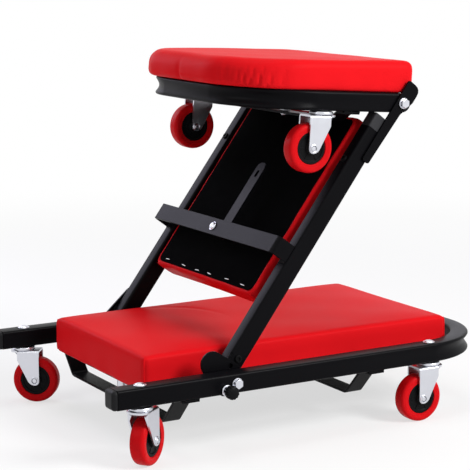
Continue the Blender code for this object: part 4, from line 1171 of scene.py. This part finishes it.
caster = {"trail": 0.017, "drop": 0.04755}
casterKeys = ("left_near", "left_far", "right_near", "right_far", "seat_near", "seat_far")
axlePlace = Matrix.Translation((-caster["trail"], 0, -caster["drop"])) @ Matrix.Rotation(pi / 2, 4, "X")


def casterPlace(key):
    pivot = Vector(joints[f"swivel_{key}"]["pos_m"])
    up = Vector(joints[f"swivel_{key}"]["axis"]).normalized()
    reach = Vector(joints[f"spin_{key}"]["pos_m"]) - pivot
    ahead = -(reach - up * reach.dot(up)).normalized()
    across = up.cross(ahead)
    place = Matrix((ahead, across, up)).transposed().to_4x4()
    return Matrix.Translation(pivot) @ place


# the race's rim is (distance in from its radius, height), its neck (radius, height)
stem = {"race": 0.0155, "top": -0.0004, "neckEnd": -0.0112,
        "rim": ((0.0022, -0.0004), (0.0008, -0.0009), (0.0001, -0.0020), (0.0, -0.0036), (0.0006, -0.0047)),
        "neck": ((0.0090, -0.0047), (0.0088, -0.0086), (0.0078, -0.0106), (0.0040, -0.0112)),
        "shank": 0.0039, "inRace": 0.001, "inDome": 0.0008, "dome": 0.0066, "domeFoot": 0.0004,
        "domeLevel": 0.0011, "domeHeight": 0.0024, "washer": 0.0080, "bore": 0.0038, "washerLevel": 0.0002,
        "washerHeight": 0.0010, "railGrip": 0.025, "seatGrip": 0.0018}


def stemPiece(name, grip, domed):
    rim = [(stem["race"] - inset, height) for inset, height in stem["rim"]]
    profile = [(0, stem["top"]), *rim, *stem["neck"], (0, stem["neckEnd"])]
    shank = [(stem["shank"], -stem["inRace"]), (stem["shank"], grip + stem["inDome"])]
    pieces = [turned("casterRace", profile, turnSteps["large"])]
    pieces.append(turned("casterShank", shank, turnSteps["thin"]))
    if domed:
        level, rise = grip + stem["domeLevel"], stem["domeHeight"]
        dome = [(stem["dome"] * cos(angle), level + rise * sin(angle)) for angle in reversed(quarterTurn)]
        dome.append((stem["dome"], grip + stem["domeFoot"]))
        pieces.append(turned("stemDome", dome, turnSteps["middle"]))
        pieces.append(washerDisc("stemWasher", stem["washer"], stem["bore"], grip + stem["washerLevel"],
                                 stem["washerHeight"]))
    return joined(pieces, name)


fork = {"crownTop": -0.0051, "front": 0.0175, "rear": -0.0235, "half": 0.014, "sheet": 0.0025,
        "leading": 0.007, "knee": -0.0191, "boss": 0.0065, "fold": 0.0034, "frontRound": 0.01035,
        "bossRound": 0.94, "edge": 0.0005, "near": 0.0002}
# half the axle and one pressed boss, as (radius, distance out from the leg's face)
axle = {"pin": ((0.0, 0.0012), (0.0028, 0.0010), (0.0039, 0.0)),
        "boss": ((0.0039, -0.0005), (0.0058, -0.0005), (0.0054, 0.0009), (0.0046, 0.0012), (0.0040, 0.0010))}


def mirrored(outline):
    # the same outline seen from the other side, to carry a profile on with
    return [(radius, -height) for radius, height in reversed(outline)]


def onForkSide(first, second):
    # true for the crown's straight edges that the legs drop from
    half, near = fork["half"], fork["near"]
    return (abs(abs(first.y) - half) < near and first.y * second.y > 0
            and max(first.x, second.x) < fork["leading"] + near)


def forkSheet():
    size, near = fork, fork["near"]
    letGo()
    middle = ((size["front"] + size["rear"]) / 2, 0, size["crownTop"])
    bpy.ops.mesh.primitive_plane_add(size=1, location=middle)
    piece = added()
    piece.scale = (size["front"] - size["rear"], 2 * size["half"], 1)
    settle(piece)
    editAll(piece)
    bpy.ops.mesh.bisect(plane_co=(size["leading"], 0, 0), plane_no=(1, 0, 0))
    editDone()
    pickVerts(piece, lambda spot: spot.x > size["front"] - near)
    bevelPicked(size["frontRound"], segments=6, affect="VERTICES")

    # both legs drop from the side edges, then narrow towards the axle
    pickEdges(piece, lambda first, second: onForkSide(first, second) and abs(first.x - second.x) > near)
    foot = -caster["drop"] - size["boss"]
    for start, end in ((size["crownTop"], size["knee"]), (size["knee"], foot)):
        bpy.ops.mesh.extrude_edges_move(TRANSFORM_OT_translate={"value": (0, 0, end - start)})
    editDone()
    for vertex in piece.data.vertices:
        if vertex.co.z < foot + near and vertex.co.x > 0:
            vertex.co.x = size["boss"] - caster["trail"]
    pickVerts(piece, lambda spot: spot.z < foot + near)
    bevelPicked(size["boss"] * size["bossRound"], segments=6, affect="VERTICES")
    pickEdges(piece, lambda first, second: min(first.z, second.z) > size["crownTop"] - near
              and onForkSide(first, second) and abs(first.y - second.y) < near)
    bevelPicked(size["fold"], segments=5)
    tidyNormals(piece)
    crown = max(piece.data.polygons, key=lambda face: face.center.z)
    if crown.normal.z < 0:
        editAll(piece)
        bpy.ops.mesh.flip_normals()
        editDone()
    thickened(piece, size["sheet"])
    return rounded(piece, size["edge"], angle=40)


def forkPiece():
    # the sheet with its axle and pressed bosses
    sheet, half = forkSheet(), fork["half"]
    pin = [(radius, half + out) for radius, out in axle["pin"]]
    pieces = [turned("axlePin", pin + mirrored(pin), turnSteps["thin"])]
    for turn in (0, pi):
        outline = [(radius, half + out) for radius, out in axle["boss"]]
        boss = turned("axleBoss", outline, turnSteps["small"])
        boss.data.transform(Matrix.Rotation(turn, 4, "X"))
        pieces.append(boss)
    for part in pieces:
        part.data.transform(axlePlace)
    return joined([sheet, *pieces], "casterFork")


# one side of the tyre and of its hub, from the hub outwards, as (radius, distance in from the wheel's face)
wheel = {"radius": 0.03175, "half": 0.010, "treadEdge": 0.0046, "tread": 0.0016, "hubEdge": 0.0002,
         "ribs": 6, "rib": (0.0082, 0.0016), "ribIn": 0.0036, "ribFrom": 0.0126, "ribEdge": 0.0004,
         "tyre": ((0.0207, 0.0016), (0.0212, 0.0007), (0.0226, 0.0003), (0.0236, 0.0005), (0.0246, 0.0001),
                  (0.0270, 0.0), (0.0288, 0.0003), (0.0303, 0.0012), (0.0313, 0.0026)),
         "hub": ((0.0044, -0.0006), (0.0078, -0.0006), (0.0085, 0.0), (0.0088, 0.0022), (0.0160, 0.0028),
                 (0.0168, 0.0022), (0.0174, 0.0014), (0.0200, 0.0013), (0.0207, 0.0018))}


def tyrePiece():
    side = [(radius, wheel["half"] - inset) for radius, inset in wheel["tyre"]]
    side += [(wheel["radius"], wheel["half"] - wheel["treadEdge"]), (wheel["radius"], wheel["tread"])]
    return turned("casterTyre", side + mirrored(side), turnSteps["wheel"], closed=True)


def hubPiece():
    side = [(radius, wheel["half"] - inset) for radius, inset in wheel["hub"]]
    ring = turned("casterHub", side + mirrored(side), turnSteps["large"], closed=True)
    pieces = [rounded(ring, wheel["hubEdge"], segments=1, angle=25)]
    size = (*wheel["rib"], 2 * wheel["half"] - wheel["ribIn"])
    rib = rounded(block("hubRib", size, (wheel["ribFrom"], 0, 0)), wheel["ribEdge"], angle=40)
    for index in range(wheel["ribs"]):
        twin = copied(rib, "hubRib")
        twin.data.transform(Matrix.Rotation(2 * pi * index / wheel["ribs"], 4, "Z"))
        pieces.append(twin)
    bpy.data.objects.remove(rib)
    return joined(pieces, "casterHub")


def buildCasters():
    patterns = {"base": stemPiece("railStem", stem["railGrip"], True),
                "seat": stemPiece("seatStem", stem["seatGrip"], False),
                "fork": forkPiece(), "tyre": tyrePiece(), "hub": hubPiece()}
    for key in casterKeys:
        place = casterPlace(key)
        carrier = "seat" if key.startswith("seat") else "base"
        putCopy(patterns[carrier], f"casterStem_{key}", carrier, brightZinc, place, f"caster_stem_{key}")
        putCopy(patterns["fork"], f"casterFork_{key}", f"fork_{key}", brightZinc, place, f"caster_fork_{key}")
        body, turning = f"wheel_{key}", place @ axlePlace
        putCopy(patterns["tyre"], f"casterTyre_{key}", body, redTyre, turning, f"caster_wheel_{key}")
        putCopy(patterns["hub"], f"casterHub_{key}", body, hubPlastic, turning)
    for pattern in patterns.values():
        bpy.data.objects.remove(pattern)
    print("casters set")


# weld beads where flat steel meets tube

# each seam has its bead's radius; bars are welded along both edges, "half" away from their middle
weld = {"step": 0.0018, "fewest": 4, "below": 0.0008,
        "swell": 0.22, "beat": 2.4, "sway": 0.9, "swayBeat": 1.7,
        "plate": {"radius": 0.0021, "from": 0.010, "to": 0.031, "fromLevel": 0.9, "toLevel": 0.98},
        "midBar": {"radius": 0.0013, "along": 0.176, "half": 0.012, "from": 0.003, "to": 0.016},
        "baseBar": {"radius": 0.0013, "reach": 0.009},
        "seatBar": {"radius": 0.0012, "along": -0.076, "half": 0.012, "reach": 0.007}}


def weldBead(place, start, end, radius):
    # a line of small swellings, as a hand-laid bead has
    first, last = Vector(start), Vector(end)
    count = max(weld["fewest"], int((last - first).length / weld["step"]))
    points = [first.lerp(last, index / count) for index in range(count + 1)]
    sways = [weld["sway"] * sin(weld["swayBeat"] * index) for index in range(count + 1)]
    swells = [1 + weld["swell"] * sin(weld["beat"] * index + sway) for index, sway in enumerate(sways)]
    piece = threadPiece("weld", points, radius, swells)
    piece.data.transform(place)
    return piece


def buildWelds():
    beads = {"base": [], "mid": [], "seat": []}
    back = tube["height"] / 2
    plate, midBar, baseBar, seatBar = (weld[name] for name in ("plate", "midBar", "baseBar", "seatBar"))
    for side in sides.values():
        start = (plate["from"], side * foldOuterY, back * plate["fromLevel"])
        end = (plate["to"], side * foldOuterY, back * plate["toLevel"])
        beads["mid"].append(weldBead(midPlace, start, end, plate["radius"]))
        for edge in (-1, 1):
            along = midBar["along"] + edge * midBar["half"]
            start, end = ((along, side * (foldOuterY - midBar[name]), back) for name in ("from", "to"))
            beads["mid"].append(weldBead(midPlace, start, end, midBar["radius"]))
        level = baseLow.z - weld["below"]
        for node in flatSteel["base"]:
            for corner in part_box(node):
                start, end = (Vector((corner.x, side * (baseRailY + reach), level))
                              for reach in (-baseBar["reach"], baseBar["reach"]))
                beads["base"].append(weldBead(basePlace, start, end, baseBar["radius"]))
        level = -back - weld["below"]
        for edge in (-1, 1):
            along = seatBar["along"] + edge * seatBar["half"]
            start, end = ((along, side * (foldRailY + way * seatBar["reach"]), level) for way in (-1, 1))
            beads["seat"].append(weldBead(seatPlace, start, end, seatBar["radius"]))
    for body, parts in beads.items():
        putOn(joined(parts, f"{body}Welds"), f"{body}Welds", body, blackCoat)
    print("welds laid")


buildTubes()
buildFlatSteel()
buildPlugs()
buildSeatEnds()
buildCushions()
buildHingeBolts()
buildLocks()
buildRailScrews()
buildBoardBolts()
buildCasters()
buildWelds()
